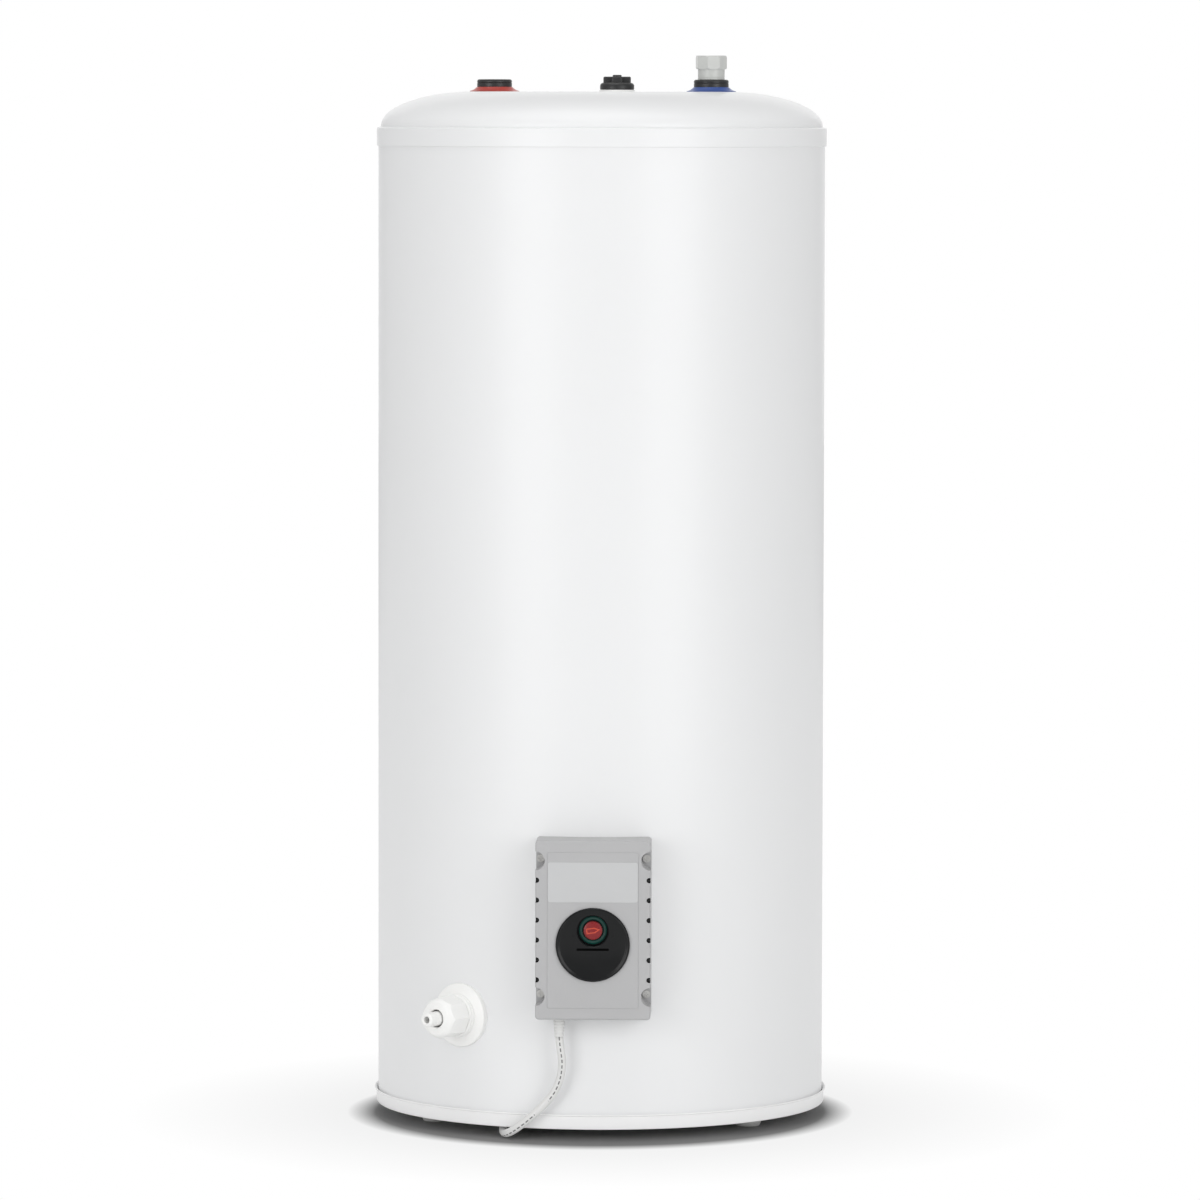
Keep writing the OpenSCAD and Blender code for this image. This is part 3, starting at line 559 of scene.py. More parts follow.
lead = {
    "diameter": 8.4,
    "run": [
        (-35, -252, 111), (-33.6, -251.4, 98), (-32, -249.5, 84), (-34, -247, 68), (-40, -246, 53),
        (-50, -244, 40), (-62, -241, 28), (-74, -236, 17.5), (-84, -228, 9.8), (-90.5, -216, 5.6),
        (-94, -200, 4.4), (-95.5, -180, 4.4), (-96.5, -155, 4.4), (-98, -125, 4.4),
        (-99.5, -95, 4.4), (-100.5, -62, 4.4), (-101, -28, 4.4), (-101, 5, 4.4), (-100, 40, 4.4),
        (-98, 75, 4.4), (-96, 110, 4.4), (-94, 145, 4.4), (-91, 180, 4.4), (-89, 215, 4.4),
        (-88, 245, 4.8), (-88, 276, 5.8),
    ],
    "coilCenter": (-40, 300),
    "coilRadius": 48,
    "coilTurns": 2.25,
    "coilLow": 6.2,
    "coilPitch": 8.8,
    "tieTurn": 20,
    "tail": [(-16, 347.6, 25), (0, 347, 21.5), (18, 346, 16), (36, 346, 12.2), (52, 346, 11)],
}


def coilPoints():
    points = []
    count = int(lead["coilTurns"] * 24)
    for i in range(count + 1):
        share = i / 24
        angle = math.radians(180 - 360 * share)
        points.append((
            lead["coilCenter"][0] + lead["coilRadius"] * math.cos(angle),
            lead["coilCenter"][1] + lead["coilRadius"] * math.sin(angle),
            lead["coilLow"] + lead["coilPitch"] * share,
        ))
    return points


# Catmull-Rom through the route's points
def smoothLine(points, step):
    points = [Vector(p) for p in points]
    line = []
    for i in range(len(points) - 1):
        a = points[i - 1] if i else points[0] * 2 - points[1]
        b, c = points[i], points[i + 1]
        d = points[i + 2] if i + 2 < len(points) else points[-1] * 2 - points[-2]
        count = max(1, round((c - b).length / step))
        for k in range(count):
            t = k / count
            line.append(0.5 * (
                2 * b + (c - a) * t + (2 * a - 5 * b + 4 * c - d) * t * t
                + (3 * b - a - 3 * c + d) * t ** 3
            ))
    return line + [points[-1]]


def sweepTube(line, radius, sides):
    bm = bmesh.new()
    layer = bm.loops.layers.uv.new("along")
    rings, lengths, run = [], [], 0.0
    side = Vector((0, 1, 0))
    for i, point in enumerate(line):
        ahead = (line[min(i + 1, len(line) - 1)] - line[max(i - 1, 0)]).normalized()
        side = (side - side.dot(ahead) * ahead).normalized()
        up = ahead.cross(side)
        if i:
            run += (point - line[i - 1]).length
        lengths.append(run * mm)
        rings.append([
            bm.verts.new((point + radius * (
                math.cos(math.tau * k / sides) * side + math.sin(math.tau * k / sides) * up
            )) * mm)
            for k in range(sides)
        ])
    for i in range(len(rings) - 1):
        for k in range(sides):
            n = (k + 1) % sides
            face = bm.faces.new((rings[i][k], rings[i][n], rings[i + 1][n], rings[i + 1][k]))
            spots = ((k, i), (k + 1, i), (k + 1, i + 1), (k, i + 1))
            for loop, (across, along) in zip(face.loops, spots):
                loop[layer].uv = (across / sides, lengths[along])
    bm.faces.new(reversed(rings[0]))
    bm.faces.new(rings[-1])
    return bm, run * mm


def makeLead():
    route = lead["run"] + coilPoints() + lead["tail"]
    line = smoothLine(route, 4)
    bm, length = sweepTube(line, lead["diameter"] / 2, 20)
    bmesh.ops.recalc_face_normals(bm, faces=bm.faces)
    cord = addPiece(
        "lead", bm, root, "lead_white", ["cord_run", "cord_coil", "cord_tail"], edge=0, look=leadPrinted
    )
    print("lead length", round(length, 4))
    return cord, line, length


cord, cordLine, cordLength = makeLead()

plug = {"relief": 24, "length": 34, "width": 38, "thick": 21, "gripStep": 3.4}


def alongPlug():
    start = Vector(lead["tail"][-1]) * mm
    return Matrix.Translation(start) @ turned(90, "Y")


def makePlug():
    r = lead["diameter"] / 2
    profile = [(r + 0.05, 0), (r + 1, 0)]
    count = 6
    for i in range(count):
        low = plug["relief"] * i / count + 0.4
        wide = r + 1.2 + i * 0.36
        profile += [(wide, low), (wide, low + 2.5), (wide - 0.9, low + 2.6), (wide - 0.9, low + 3.6)]
    profile += [(7.4, plug["relief"]), (7.4, plug["relief"] + 1), (r + 0.05, plug["relief"] + 1)]
    relief = lathe(profile, 40)
    body = block(plug["thick"], plug["width"], plug["length"] - 12, (0, 0, plug["relief"] + 12 + 11), 4, 5)
    neck = block(plug["thick"] - 2, plug["width"] - 14, 18, (0, 0, plug["relief"] + 9), 4, 4)
    grips = [
        block(12, 1.2, 1.6, (0, side * (plug["width"] / 2 - 0.7), plug["relief"] + 18 + plug["gripStep"] * i), 0.4, 2)
        for side in (-1, 1) for i in range(4)
    ]
    shell = joined([relief, body, neck] + grips)
    return addPiece("plug_shell", shell, root, "lead_white", ["plug_body"], alongPlug(), 0.3, 2)


def makePins():
    top = plug["relief"] + plug["length"]
    blades = []
    for x, y, turn, reach in ((-3.2, 7.9, 30, 18), (-3.2, -7.9, -30, 18), (6.55, 0, 90, 21)):
        blade = block(1.6, 6.3, reach, (0, 0, top + reach / 2), 0.5, 3)
        blades.append(placed(blade, moved(x, y, 0) @ turned(turn)))
    return addPiece("plug_blades", joined(blades), root, "brass", ["plug_pins"], alongPlug(), 0)


plugShell = makePlug()
plugBlades = makePins()


def makeTie():
    low, high = corners("cord_tie")
    height, middle = high.z - low.z, (0, 0, (high.z + low.z) / 2)
    inside = lead["diameter"] + 1.4
    outer = block(inside + 2.4, 9, height, middle, 1.4, 4)
    band = carve(outer, [("DIFFERENCE", block(inside, 20, height - 2.6, middle, 1, 3))])
    x, y = lead["coilCenter"]
    place = moved(x, y, 0) @ turned(lead["tieTurn"]) @ moved(lead["coilRadius"], 0, 0)
    return addPiece("lead_tie", band, root, "tie_black", ["cord_tie"], place, 0.3, 2)


leadTie = makeTie()

print("lead made")

casing = {"wall": 0.8, "seamWidth": 9, "seamThick": 0.9, "seamLow": 18, "seamHigh": 22}


def makeCasing():
    low, high = corners("outer_casing")
    r = heater["radius"]
    inside, proud = r - casing["wall"], r + casing["seamThick"]
    sheet = lathe([(r, low.z), (r, high.z), (inside, high.z), (inside, low.z)], 256)
    # folded seam down the back
    seam = bmesh.new()
    half = casing["seamWidth"] / 2 / r
    bottom, top = low.z + casing["seamLow"], high.z - casing["seamHigh"]
    section = [(r - 0.2, bottom), (r - 0.2, top), (proud, top - 1), (proud, bottom + 1)]
    verts = [seam.verts.new((0, radius * mm, z * mm)) for radius, z in section]
    bmesh.ops.rotate(seam, verts=verts, matrix=Matrix.Rotation(-half, 3, "Z"))
    face = seam.faces.new(verts)
    bmesh.ops.spin(
        seam, geom=[face], cent=(0, 0, 0), axis=(0, 0, 1), dvec=(0, 0, 0), angle=2 * half, steps=4,
        use_merge=False, use_duplicate=False,
    )
    bmesh.ops.recalc_face_normals(seam, faces=seam.faces)
    addPiece("casing_sheet", sheet, root, "white_enamel", ["outer_casing"], edge=0.3, segments=2)
    addPiece("casing_seam", seam, root, "white_enamel", edge=0.35, segments=2)


makeCasing()

cover = {"band": 1.6, "bandHeight": 19, "rise": 38, "shoulder": 100, "wall": 1.5, "lip": 2.6}


def coverLine(inset):
    r = heater["radius"] - cover["lip"] - cover["shoulder"]
    line = []
    for i in range(25):
        a = math.radians(90 * i / 24)
        line.append((
            r + (cover["shoulder"] - inset) * math.sin(a),
            heater["crown"] - inset - (cover["rise"] - 2) * (1 - math.cos(a)),
        ))
    return line


def makeTopCover():
    bandR = heater["radius"] + cover["band"]
    bandTop = heater["crown"] - cover["rise"]
    bottom = bandTop - cover["bandHeight"]
    outer = [(0, heater["crown"])] + coverLine(0) + [
        (heater["radius"] - cover["lip"] - 0.2, bandTop + 1.1), (bandR - 1.2, bandTop + 0.5),
        (bandR, bandTop - 0.6), (bandR, bottom + 0.4), (bandR - 0.4, bottom),
    ]
    inner = coverLine(cover["wall"])[::-1] + [(0, heater["crown"] - cover["wall"])]
    inner = [(bandR - cover["wall"], bottom), (bandR - cover["wall"], bandTop - cover["wall"])] + inner
    shell = lathe(outer + inner, 256, closed=False)
    holes = [("DIFFERENCE", placed(prism(radius, -30, 30, 64), onCrown(x))) for x, radius in (
        (-fittings["hotX"], 16), (fittings["coldX"], 16), (fittings["anodeX"], 14),
    )]
    shell = carve(shell, holes)
    addPiece("domed_cover", shell, root, "white_enamel", ["top_cover"], edge=0.35, segments=2, angle=28)


fittings = {"hotX": 113, "coldX": 115, "anodeX": 16}
makeTopCover()

pan = {"step": 2, "lip": 2, "wall": 1.5}


def makeBottomPan():
    low, high = corners("bottom_cover")
    r, z0, z1 = heater["radius"] + pan["step"], low.z, high.z
    profile = [
        (0, z0), (r - 3, z0), (r - 1, z0 + 0.5), (r, z0 + 2), (r, z1 - 3.2), (r + 0.4, z1 - 2.2),
        (r + 1.6, z1 - 1.6), (r + pan["lip"] - 0.1, z1 - 0.8), (r + 1.4, z1 - 0.1),
        (r + 0.4, z1 - 0.5), (r - 0.4, z1 - 1.6), (r - pan["wall"], z1 - 3),
        (r - pan["wall"], z0 + pan["wall"]), (0, z0 + pan["wall"]),
    ]
    shell = lathe(profile, 256, closed=False)
    # The pan takes a lighter copy of the casing's white enamel: painted light that brightens the pan
    look = variant("pan_enamel_painted_light", "white_enamel", color=(0.92, 0.92, 0.92), second=(0.89, 0.89, 0.89))
    addPiece("base_pan", shell, root, "white_enamel", ["bottom_cover"], None, 0.2, 2, 40, look)


makeBottomPan()

feet = {"turns": (56, -64, 176), "reach": 190, "radius": 14}


def makeFeet():
    high = corners("feet")[1].z
    r = feet["radius"]
    pads = []
    for turn in feet["turns"]:
        pad = lathe([
            (0, 0), (r - 2.4, 0), (r - 1.6, 0.6), (r - 0.3, 3.2), (r, 3.8), (r, high - 3.4), (r - 1, high - 2.8),
            (r - 1, high - 0.01), (0, high - 0.01),
        ], 48, closed=False)
        pads.append(placed(pad, turned(turn) @ moved(0, -feet["reach"], 0)))
    addPiece("foot_pads", joined(pads), root, "foot_plastic", ["feet"], edge=0.4)


makeFeet()
print("casing made")

rosette = {"radius": 26, "height": 4.9, "hole": 15.8}
collar = {"radius": 18.35, "sleeve": 15.5, "low": -16, "top": 12.8, "bore": 12.07, "floor": -4.3}
thread = {"pitch": 1.814, "depth": 0.85}


def makeRosette(name, x, slot, node):
    top = collar["radius"]
    profile = [
        (rosette["hole"], 0.02), (rosette["radius"], 0.02), (rosette["radius"], 0.7), (24.4, 1.0), (22.4, 1.9),
        (20.6, 3.1), (19.2, 4.3), (top + 0.1, rosette["height"]), (rosette["hole"], rosette["height"]),
    ]
    addPiece(name, lathe(profile), root, slot, [node], onCrown(x), 0.3)


def makeCollar(name, x, node):
    r, bore = collar["radius"], collar["bore"]
    profile = [
        (collar["sleeve"], collar["low"]), (collar["sleeve"], rosette["height"]), (r, rosette["height"]),
        (r, 8.6), (r - 0.5, 9.1), (r, 9.6), (r, collar["top"] - 1.9), (r - 0.6, collar["top"] - 0.6),
        (r - 1.9, collar["top"]), (bore + 2, collar["top"]), (bore + 0.9, collar["top"] - 1.2),
        (bore + 0.9, collar["floor"]), (13.05, collar["floor"]), (13.05, collar["low"]),
    ]
    ridge = threadRidge(bore + 0.95, thread["depth"], thread["pitch"], collar["floor"] + 1, 8.2)
    addPiece(name, joined([lathe(profile), ridge]), root, "black_plastic", [node], onCrown(x), 0.3, 2, 32)


makeRosette("hot_ring", -fittings["hotX"], "red_plastic", "hot_rosette")
makeRosette("cold_ring", fittings["coldX"], "blue_plastic", "cold_rosette")
makeCollar("hot_socket", -fittings["hotX"], "hot_collar")
makeCollar("cold_socket", fittings["coldX"], "cold_collar")

anode = {"washer": 19, "washerTop": 2, "cap": 18, "capTop": 9.4, "grip": 28.8, "bar": 11, "gripTop": 15.8}


def makeAnodeCap():
    place = onCrown(fittings["anodeX"])
    washer = lathe([
        (13.2, 0.02), (anode["washer"], 0.02), (anode["washer"], 1.5), (anode["washer"] - 0.5, anode["washerTop"]),
        (13.2, anode["washerTop"]),
    ])
    addPiece("plug_washer", washer, root, "white_plastic", ["anode_washer"], place, 0.25)
    low, r, top = anode["washerTop"], anode["cap"], anode["capTop"]
    disc = lathe([
        (0, low), (r - 0.6, low), (r, low + 0.8), (r, top - 2.6), (r - 0.9, top - 1), (r - 2.6, top), (0, top),
    ], closed=False)
    grip = anode["gripTop"]
    bars = [
        placed(block(anode["grip"], anode["bar"], grip - top + 2, (0, 0, (grip + top) / 2 - 1), 1.4, 4), turned(turn))
        for turn in (0, 90)
    ]
    pip = lathe([
        (0, grip - 1), (4.75, grip - 1), (4.75, grip + 1.2), (4, grip + 1.85), (0, grip + 1.9),
    ], 40, closed=False)
    cap = carve(disc, [("UNION", bars[0]), ("UNION", bars[1]), ("UNION", pip)])
    addPiece("anode_cap", cap, root, "black_plastic", ["anode_plug"], place, 0.45, 3, 35)


makeAnodeCap()

valveLook = variant("valve_white", "white_plastic", color=(0.6, 0.61, 0.59), second=(0.54, 0.55, 0.53))
inlet = {"neck": 14.1, "neckTop": 23.7, "across": 31, "top": 38, "bore": 12.07, "threadLow": 22}


def makeInletValve():
    r, low, top = inlet["neck"], inlet["neckTop"], inlet["top"]
    bore = inlet["bore"] + 0.9
    headR = inlet["across"] / 2 / math.cos(math.radians(22.5))
    head = prism(headR, low, top, 8, 10 + 22.5)
    flare = lathe([
        (0, low - 3), (r + 0.6, low - 1.4), (headR + 0.2, low + 1.7), (headR + 0.2, top - 2.2),
        (headR - 1.5, top + 0.4), (0, top + 0.4),
    ], 96, closed=False)
    body = lathe([
        (0, -3.7), (12, -3.7), (12, collar["top"] + 0.1), (r, collar["top"] + 0.1), (r, 14.6), (r - 0.35, 15),
        (r, 15.4), (r, low + 1), (0, low + 1),
    ], 96, closed=False)
    hollow = lathe([
        (0, inlet["threadLow"]), (bore, inlet["threadLow"]), (bore, top - 1.4), (bore + 1.4, top + 0.1),
        (bore + 1.4, top + 3), (0, top + 3),
    ], 96, closed=False)
    chamber = prism(10, -6, 19, 64)
    seat = prism(8, 15, 25, 64)
    shape = carve(head, [
        ("INTERSECT", flare), ("UNION", body), ("DIFFERENCE", hollow), ("DIFFERENCE", chamber),
        ("DIFFERENCE", seat),
    ])
    ridge = threadRidge(bore + 0.05, thread["depth"], thread["pitch"], inlet["threadLow"] + 1, 7.2)
    addPiece(
        "inlet_valve_shell", joined([shape, ridge]), root, "white_plastic", ["inlet_valve_body"],
        onCrown(fittings["coldX"]), 0.35, 3, 32, valveLook,
    )


makeInletValve()
print("fittings made")

box = {
    "width": 118, "height": 184, "bottom": 131, "corner": 3.5, "edge": 2.2, "wall": 2.5,
    "pocket": 9.7, "pocketUp": (23.6, 163.3), "vents": 6, "ventFirst": 41,
    "ventPitch": 20.5, "vent": 2.75, "panel": 0.8,
}
boxFront = -corners("control_cover")[0].y - box["panel"]
boxMiddle = box["bottom"] + box["height"] / 2


def roundedBox(width, height, low, high, corner, edge):
    bm = block(width, height, high - low, (0, 0, (high + low) / 2), corner, 6, upright=True)
    if edge:
        rim = [e for e in bm.edges if all(abs(v.co.z - high * mm) < 1e-6 for v in e.verts)]
        bevelEdges(bm, rim, edge, 5)
    return bm


def sidePlaces(inset, heights):
    return [
        moved(side * (box["width"] / 2 - inset), up - box["height"] / 2, 0)
        for side in (-1, 1) for up in heights
    ]


def cutAside(bm, limit):
    for side in (-1, 1):
        bmesh.ops.bisect_plane(
            bm, geom=bm.verts[:] + bm.edges[:] + bm.faces[:], plane_co=(side * limit * mm, 0, 0),
            plane_no=(side, 0, 0), clear_outer=True,
        )
    bmesh.ops.holes_fill(bm, edges=bm.edges, sides=0)
    return bm


def makeControlCover():
    back, inner = heater["radius"] - 13, boxFront - box["wall"]
    shell = roundedBox(box["width"], box["height"], back, boxFront, box["corner"], box["edge"])
    hollow = roundedBox(
        box["width"] - 2 * box["wall"], box["height"] - 2 * box["wall"], back - 5, inner, 2, 1
    )
    panel = roundedBox(box["width"] - 25, box["height"] - 24, boxFront - 1, boxFront + box["panel"], 2, 0.5)
    posts = joined([
        cutAside(placed(prism(box["pocket"] + 2, heater["radius"] + 6, inner + 1, 48), p), box["width"] / 2 - 0.6)
        for p in sidePlaces(0, box["pocketUp"])
    ])
    pockets = joined([
        placed(prism(box["pocket"], heater["radius"] + 12, boxFront + 5, 64), p)
        for p in sidePlaces(0, box["pocketUp"])
    ])
    screwHoles = joined([
        placed(prism(2.2, heater["radius"] + 2, boxFront - 10, 24), p) for p in sidePlaces(4.7, box["pocketUp"])
    ])
    heights = [box["ventFirst"] + i * box["ventPitch"] for i in range(box["vents"])]
    vents = joined([
        placed(prism(box["vent"], boxFront - 14, boxFront + 4, 32), p) for p in sidePlaces(1.4, heights)
    ])
    low, high = corners("dial_bezel")
    dialUp = (low.z + high.z) / 2 - boxMiddle
    dialHole = placed(prism(35, inner - 3, boxFront + 5, 96), moved(0, dialUp, 0))
    tank = placed(prism(heater["radius"] + 0.3, -300, 300, 256), facingFront(boxMiddle).inverted())
    shape = carve(shell, [
        ("DIFFERENCE", hollow), ("UNION", panel), ("UNION", posts), ("DIFFERENCE", pockets),
        ("DIFFERENCE", screwHoles), ("DIFFERENCE", vents), ("DIFFERENCE", dialHole), ("DIFFERENCE", tank),
    ])
    addPiece(
        "control_shell", shape, root, "grey_plastic", ["control_cover"], facingFront(boxMiddle), 0.45, 3, 35,
    )
    # black sleeves in the vents are painted shade: they darken the holes, which are only in shade
    sleeves = joined([
        cutAside(placed(lathe([
            (0, boxFront - 13), (box["vent"] + 0.3, boxFront - 13), (box["vent"] + 0.3, boxFront - 2.2),
            (box["vent"] - 0.5, boxFront - 2.2), (box["vent"] - 0.9, boxFront - 3.4), (0, boxFront - 3.6),
        ], 32, closed=False), p), box["width"] / 2 - 0.5)
        for p in sidePlaces(1.4, heights)
    ])
    addPiece("vent_painted_shade", sleeves, root, "bezel_black", place=facingFront(boxMiddle), edge=0)


makeControlCover()

dial = {
    "radius": 38, "height": 208.5, "wellUp": 14, "well": 15.75, "rim": 4, "thick": 3.2,
    "slot": 33, "slotDown": 4.7, "slotWide": 2.4, "knob": 9.75,
}
wellHeight = dial["height"] + dial["wellUp"]
wellFloor = boxFront - 9.5
dialBack = boxFront + box["panel"]
dialFace = dialBack + dial["thick"] - 1


def makeBezel():
    r, face = dial["radius"], dialFace
    disc = lathe([
        (0, dialBack), (r - 0.6, dialBack), (r, dialBack + 0.6), (r - 0.1, face - 0.3), (r - 0.8, face + 0.7),
        (r - 1.8, face + 1.15), (r - 2.9, face + 0.9), (r - 3.7, face + 0.3), (r - dial["rim"] - 0.6, face),
        (0, face),
    ], 160, closed=False)
    up = moved(0, dial["wellUp"], 0)
    cup = placed(prism(dial["well"] + 1.6, wellFloor - 1.5, dialBack + 1, 96), up)
    well = placed(lathe([
        (0, wellFloor), (dial["well"] - 1, wellFloor), (dial["well"], wellFloor + 1), (dial["well"], face - 0.9),
        (dial["well"] + 0.9, face + 0.01), (dial["well"] + 0.9, face + 5), (0, face + 5),
    ], 96, closed=False), up)
    shaft = placed(prism(3.6, wellFloor - 4, wellFloor + 2, 32), up)
    slot = block(dial["slot"], dial["slotWide"], 6, (0, -dial["slotDown"], face + 1.1), 0.6, 3)
    barrel = lathe([
        (34.7, boxFront - 5.5), (34.7, dialBack + 0.5), (32.7, dialBack + 0.5), (32.7, boxFront - 5.5),
    ], 120)
    shape = carve(disc, [
        ("UNION", cup), ("UNION", barrel), ("DIFFERENCE", well), ("DIFFERENCE", shaft), ("DIFFERENCE", slot),
    ], False)
    addPiece("dial_disc", shape, root, "bezel_black", ["dial_bezel"], facingFront(dial["height"]), 0.25, 3, 35)
    ticks = joined([
        block(3.2, 0.9, 0.5, (side * 20, 9, face + 0.1), 0.2, 2) for side in (-1, 1)
    ])
    addPiece("dial_ticks", ticks, root, "bezel_black", place=facingFront(dial["height"]), edge=0)
    # A near-black block at the bottom of the slot is painted shade: the slot's floor is only in shade
    wide, long = dial["slotWide"] + 0.2, dial["slot"] + 0.2
    shadow = block(long, wide, 1, (0, -dial["slotDown"], face - 1.2), 0.3, 2)
    addPiece("slot_painted_shade", shadow, root, "bezel_black", place=facingFront(dial["height"]), edge=0, look=slotShadeLook)


# Near-black finish with little reflection, for the painted shade in the slot
slotShadePaint = {"color": (0.001, 0.001, 0.001), "second": (0.0015, 0.0015, 0.0015), "spec": 0.03}
slotShadeLook = variant("slot_shadow", "bezel_black", **slotShadePaint)
makeBezel()


def makeScaleRing():
    low = wellFloor + 0.02
    ring = lathe([
        (10.6, low), (14.5, low), (14.5, low + 0.5), (14.2, low + 0.8), (10.9, low + 0.8), (10.6, low + 0.5),
    ])
    ribs = []
    for i in range(11):
        rib = block(2.6, 0.5, 0.5, (12.5, 0, low + 0.95), 0.15, 2)
        ribs.append(placed(rib, turned(-60 + 30 * i)))
    addPiece("scale_disc", joined([ring] + ribs), root, "scale_green", ["scale_ring"], facingFront(wellHeight), 0)


makeScaleRing()


def makeKnob():
    back, r = wellFloor + 0.3, dial["knob"]
    profile = [
        (0, boxFront - 33), (2.6, boxFront - 33), (3, boxFront - 32.5), (3, back), (r - 0.3, back), (r, back + 0.4),
        (r, back + 3.4), (r - 0.4, back + 4.1), (r - 1.2, back + 4.4), (0, back + 4.4),
    ]
    turner = lathe(profile, 96, closed=False)
    shaftBack = -corners("thermostat_knob")[1].y
    for vert in turner.verts:
        if vert.co.z < (boxFront - 30) * mm:
            vert.co.z += (shaftBack - boxFront + 33) * mm
    flutes = []
    for i in range(24):
        cutter = prism(0.55, back + 0.8, back + 8, 10)
        flutes.append(placed(cutter, turned(15 * i) @ moved(r + 0.15, 0, 0)))
    shape = carve(turner, [("DIFFERENCE", joined(flutes))])
    addPiece("knob_disc", shape, "knob", "knob_red", ["thermostat_knob"], facingFront(wellHeight), 0.2, 2, 35)
    # raised arrow outline that points at the scale, coloured lighter than the knob as a painted highlight
    arrow = bmesh.new()
    outer = [(-7, -3), (1.8, -3), (7.6, 0), (1.8, 3), (-7, 3)]
    inner = [(-5.6, -1.6), (1.4, -1.6), (4.6, 0), (1.4, 1.6), (-5.6, 1.6)]
    rings = [
        [arrow.verts.new((x * mm, y * mm, z * mm)) for x, y in ring]
        for z in (back + 4.2, back + 4.95) for ring in (outer, inner)
    ]
    for first, second in ((0, 2), (2, 3), (3, 1), (1, 0)):
        for i in range(5):
            j = (i + 1) % 5
            arrow.faces.new((rings[first][i], rings[first][j], rings[second][j], rings[second][i]))
    bmesh.ops.recalc_face_normals(arrow, faces=arrow.faces)
    place = facingFront(wellHeight) @ turned(8)
    addPiece("knob_arrow", arrow, "knob", "knob_red", place=place, edge=0.12, segments=2, look=arrowHighlightLook)


# A lighter, more orange copy of the knob's red: painted highlight on the arrow's raised outline
arrowHighlight = {"color": (0.62, 0.07, 0.035), "second": (0.54, 0.055, 0.028), "rough": 0.35}
arrowHighlightLook = variant("knob_arrow_painted_highlight", "knob_red", **arrowHighlight)
makeKnob()


def makeLabel():
    low, high = corners("rating_plate")
    plate = roundedBox(high.x - low.x, high.z - low.z, -low.y - 0.32, -low.y, 2.5, 0.1)
    place = facingFront((high.z + low.z) / 2)
    addPiece("blank_label", plate, root, "label_film", ["rating_plate"], place, 0)


makeLabel()

gland = {"x": -35, "y": -252, "length": 20, "wide": 6.1, "ribs": 5}


def makeGland():
    r = lead["diameter"] / 2
    low, top = box["bottom"] - gland["length"], box["bottom"]
    profile = [(r + 0.02, low), (r + 0.7, low)]
    step = (gland["length"] - 4) / gland["ribs"]
    for i in range(gland["ribs"]):
        z = low + 0.8 + i * step
        wide = r + 0.8 + (gland["wide"] - r - 0.8) * i / gland["ribs"]
        groove = wide - 0.55
        profile += [(wide, z), (wide, z + step * 0.62), (groove, z + step * 0.68), (groove, z + step * 0.92)]
    profile += [(gland["wide"], top - 3), (gland["wide"], top + 7), (r + 0.02, top + 7)]
    place = moved(gland["x"], gland["y"], 0)
    addPiece("lead_sleeve", lathe(profile, 40), root, "lead_white", ["cord_gland"], place, 0.2, 2)


makeGland()
print("control box made")

drain = {
    "turn": 36.2, "height": 125, "plate": 33, "collar": 23, "handle": 40, "nozzle": 7.3,
    "lip": 6, "neckLong": 18, "handleFront": 41.5, "tip": 57.5,
}


def alongDrain():
    return turned(-drain["turn"]) @ facingFront(drain["height"])


def makeDrain():
    r0, place = heater["radius"], alongDrain()
    r = drain["plate"]
    plate = lathe([
        (13.3, r0 - 6), (r - 0.2, r0 - 6), (r, r0 + 2.4), (r - 0.5, r0 + 3.3), (r - 1.6, r0 + 3.9),
        (28.5, r0 + 4.4), (25.6, r0 + 5.2), (24, r0 + 6), (13.3, r0 + 6),
    ], 128)
    addPiece("drain_plate", plate, root, "white_plastic", ["drain_escutcheon"], place, 0.35)
    back, c = r0 + drain["lip"], drain["collar"]
    neckEnd = back + drain["neckLong"]
    bodyShape = lathe([
        (4, r0 - 37), (10.45, r0 - 37), (10.45, r0 - 21), (13, r0 - 21), (13, back), (c, back), (c, back + 2),
        (c - 0.7, back + 2.5), (c - 0.7, back + 5), (c - 2, back + 6), (11, back + 6), (11, neckEnd),
        (7.58, neckEnd), (7.58, r0 - 21), (4, r0 - 21),
    ], 96)
    addPiece("drain_body", bodyShape, root, "white_plastic", ["drain_valve_body"], place, 0.4)
    # octagonal handle with a turned front
    front, low = r0 + drain["handleFront"], back + 6.3
    across = drain["handle"] / 2 / math.cos(math.radians(22.5))
    octagon = prism(across, low, front, 8, 0)
    rounded = lathe([
        (0, low - 1), (across - 0.5, low - 1), (across + 0.4, low + 1.5), (across + 0.4, front - 8),
        (across - 1.2, front - 4.6), (across - 2.8, front - 2), (across - 4.6, front - 0.4), (across - 5.6, front),
        (0, front),
    ], 128, closed=False)
    hollow = lathe([
        (0, low - 3), (11.08, low - 3), (11.08, low + 24.2), (9.1, low + 24.6), (9.1, front - 1.2), (10, front + 0.1),
        (10, front + 4), (0, front + 4),
    ], 96, closed=False)
    handle = carve(octagon, [("INTERSECT", rounded), ("DIFFERENCE", hollow)])
    addPiece("drain_knob", handle, "drain_turner", "white_plastic", ["drain_handle"], place, 0.9, 4, 24)
    tip, n = r0 + drain["tip"], drain["nozzle"]
    stem = lathe([
        (3.5, r0 - 13), (5.5, r0 - 20.7), (5.5, r0 - 6.7), (7.5, r0 - 6.7), (7.5, front + 0.5), (n, front + 0.5),
        (n, front + 9), (n - 0.3, front + 9.4), (n, front + 9.8), (n, tip - 1.6), (n - 0.9, tip - 0.4),
        (n - 1.8, tip), (4.6, tip), (3.5, tip - 1.2),
    ], 72)
    addPiece("drain_spout", stem, "drain_slider", "white_plastic", ["drain_stem"], place, 0.25)


makeDrain()
print("drain cock made")


def addStage(name, mesh, material):
    obj = bpy.data.objects.new(name, mesh)
    mesh.materials.append(material)
    scene.collection.objects.link(obj)
    return obj


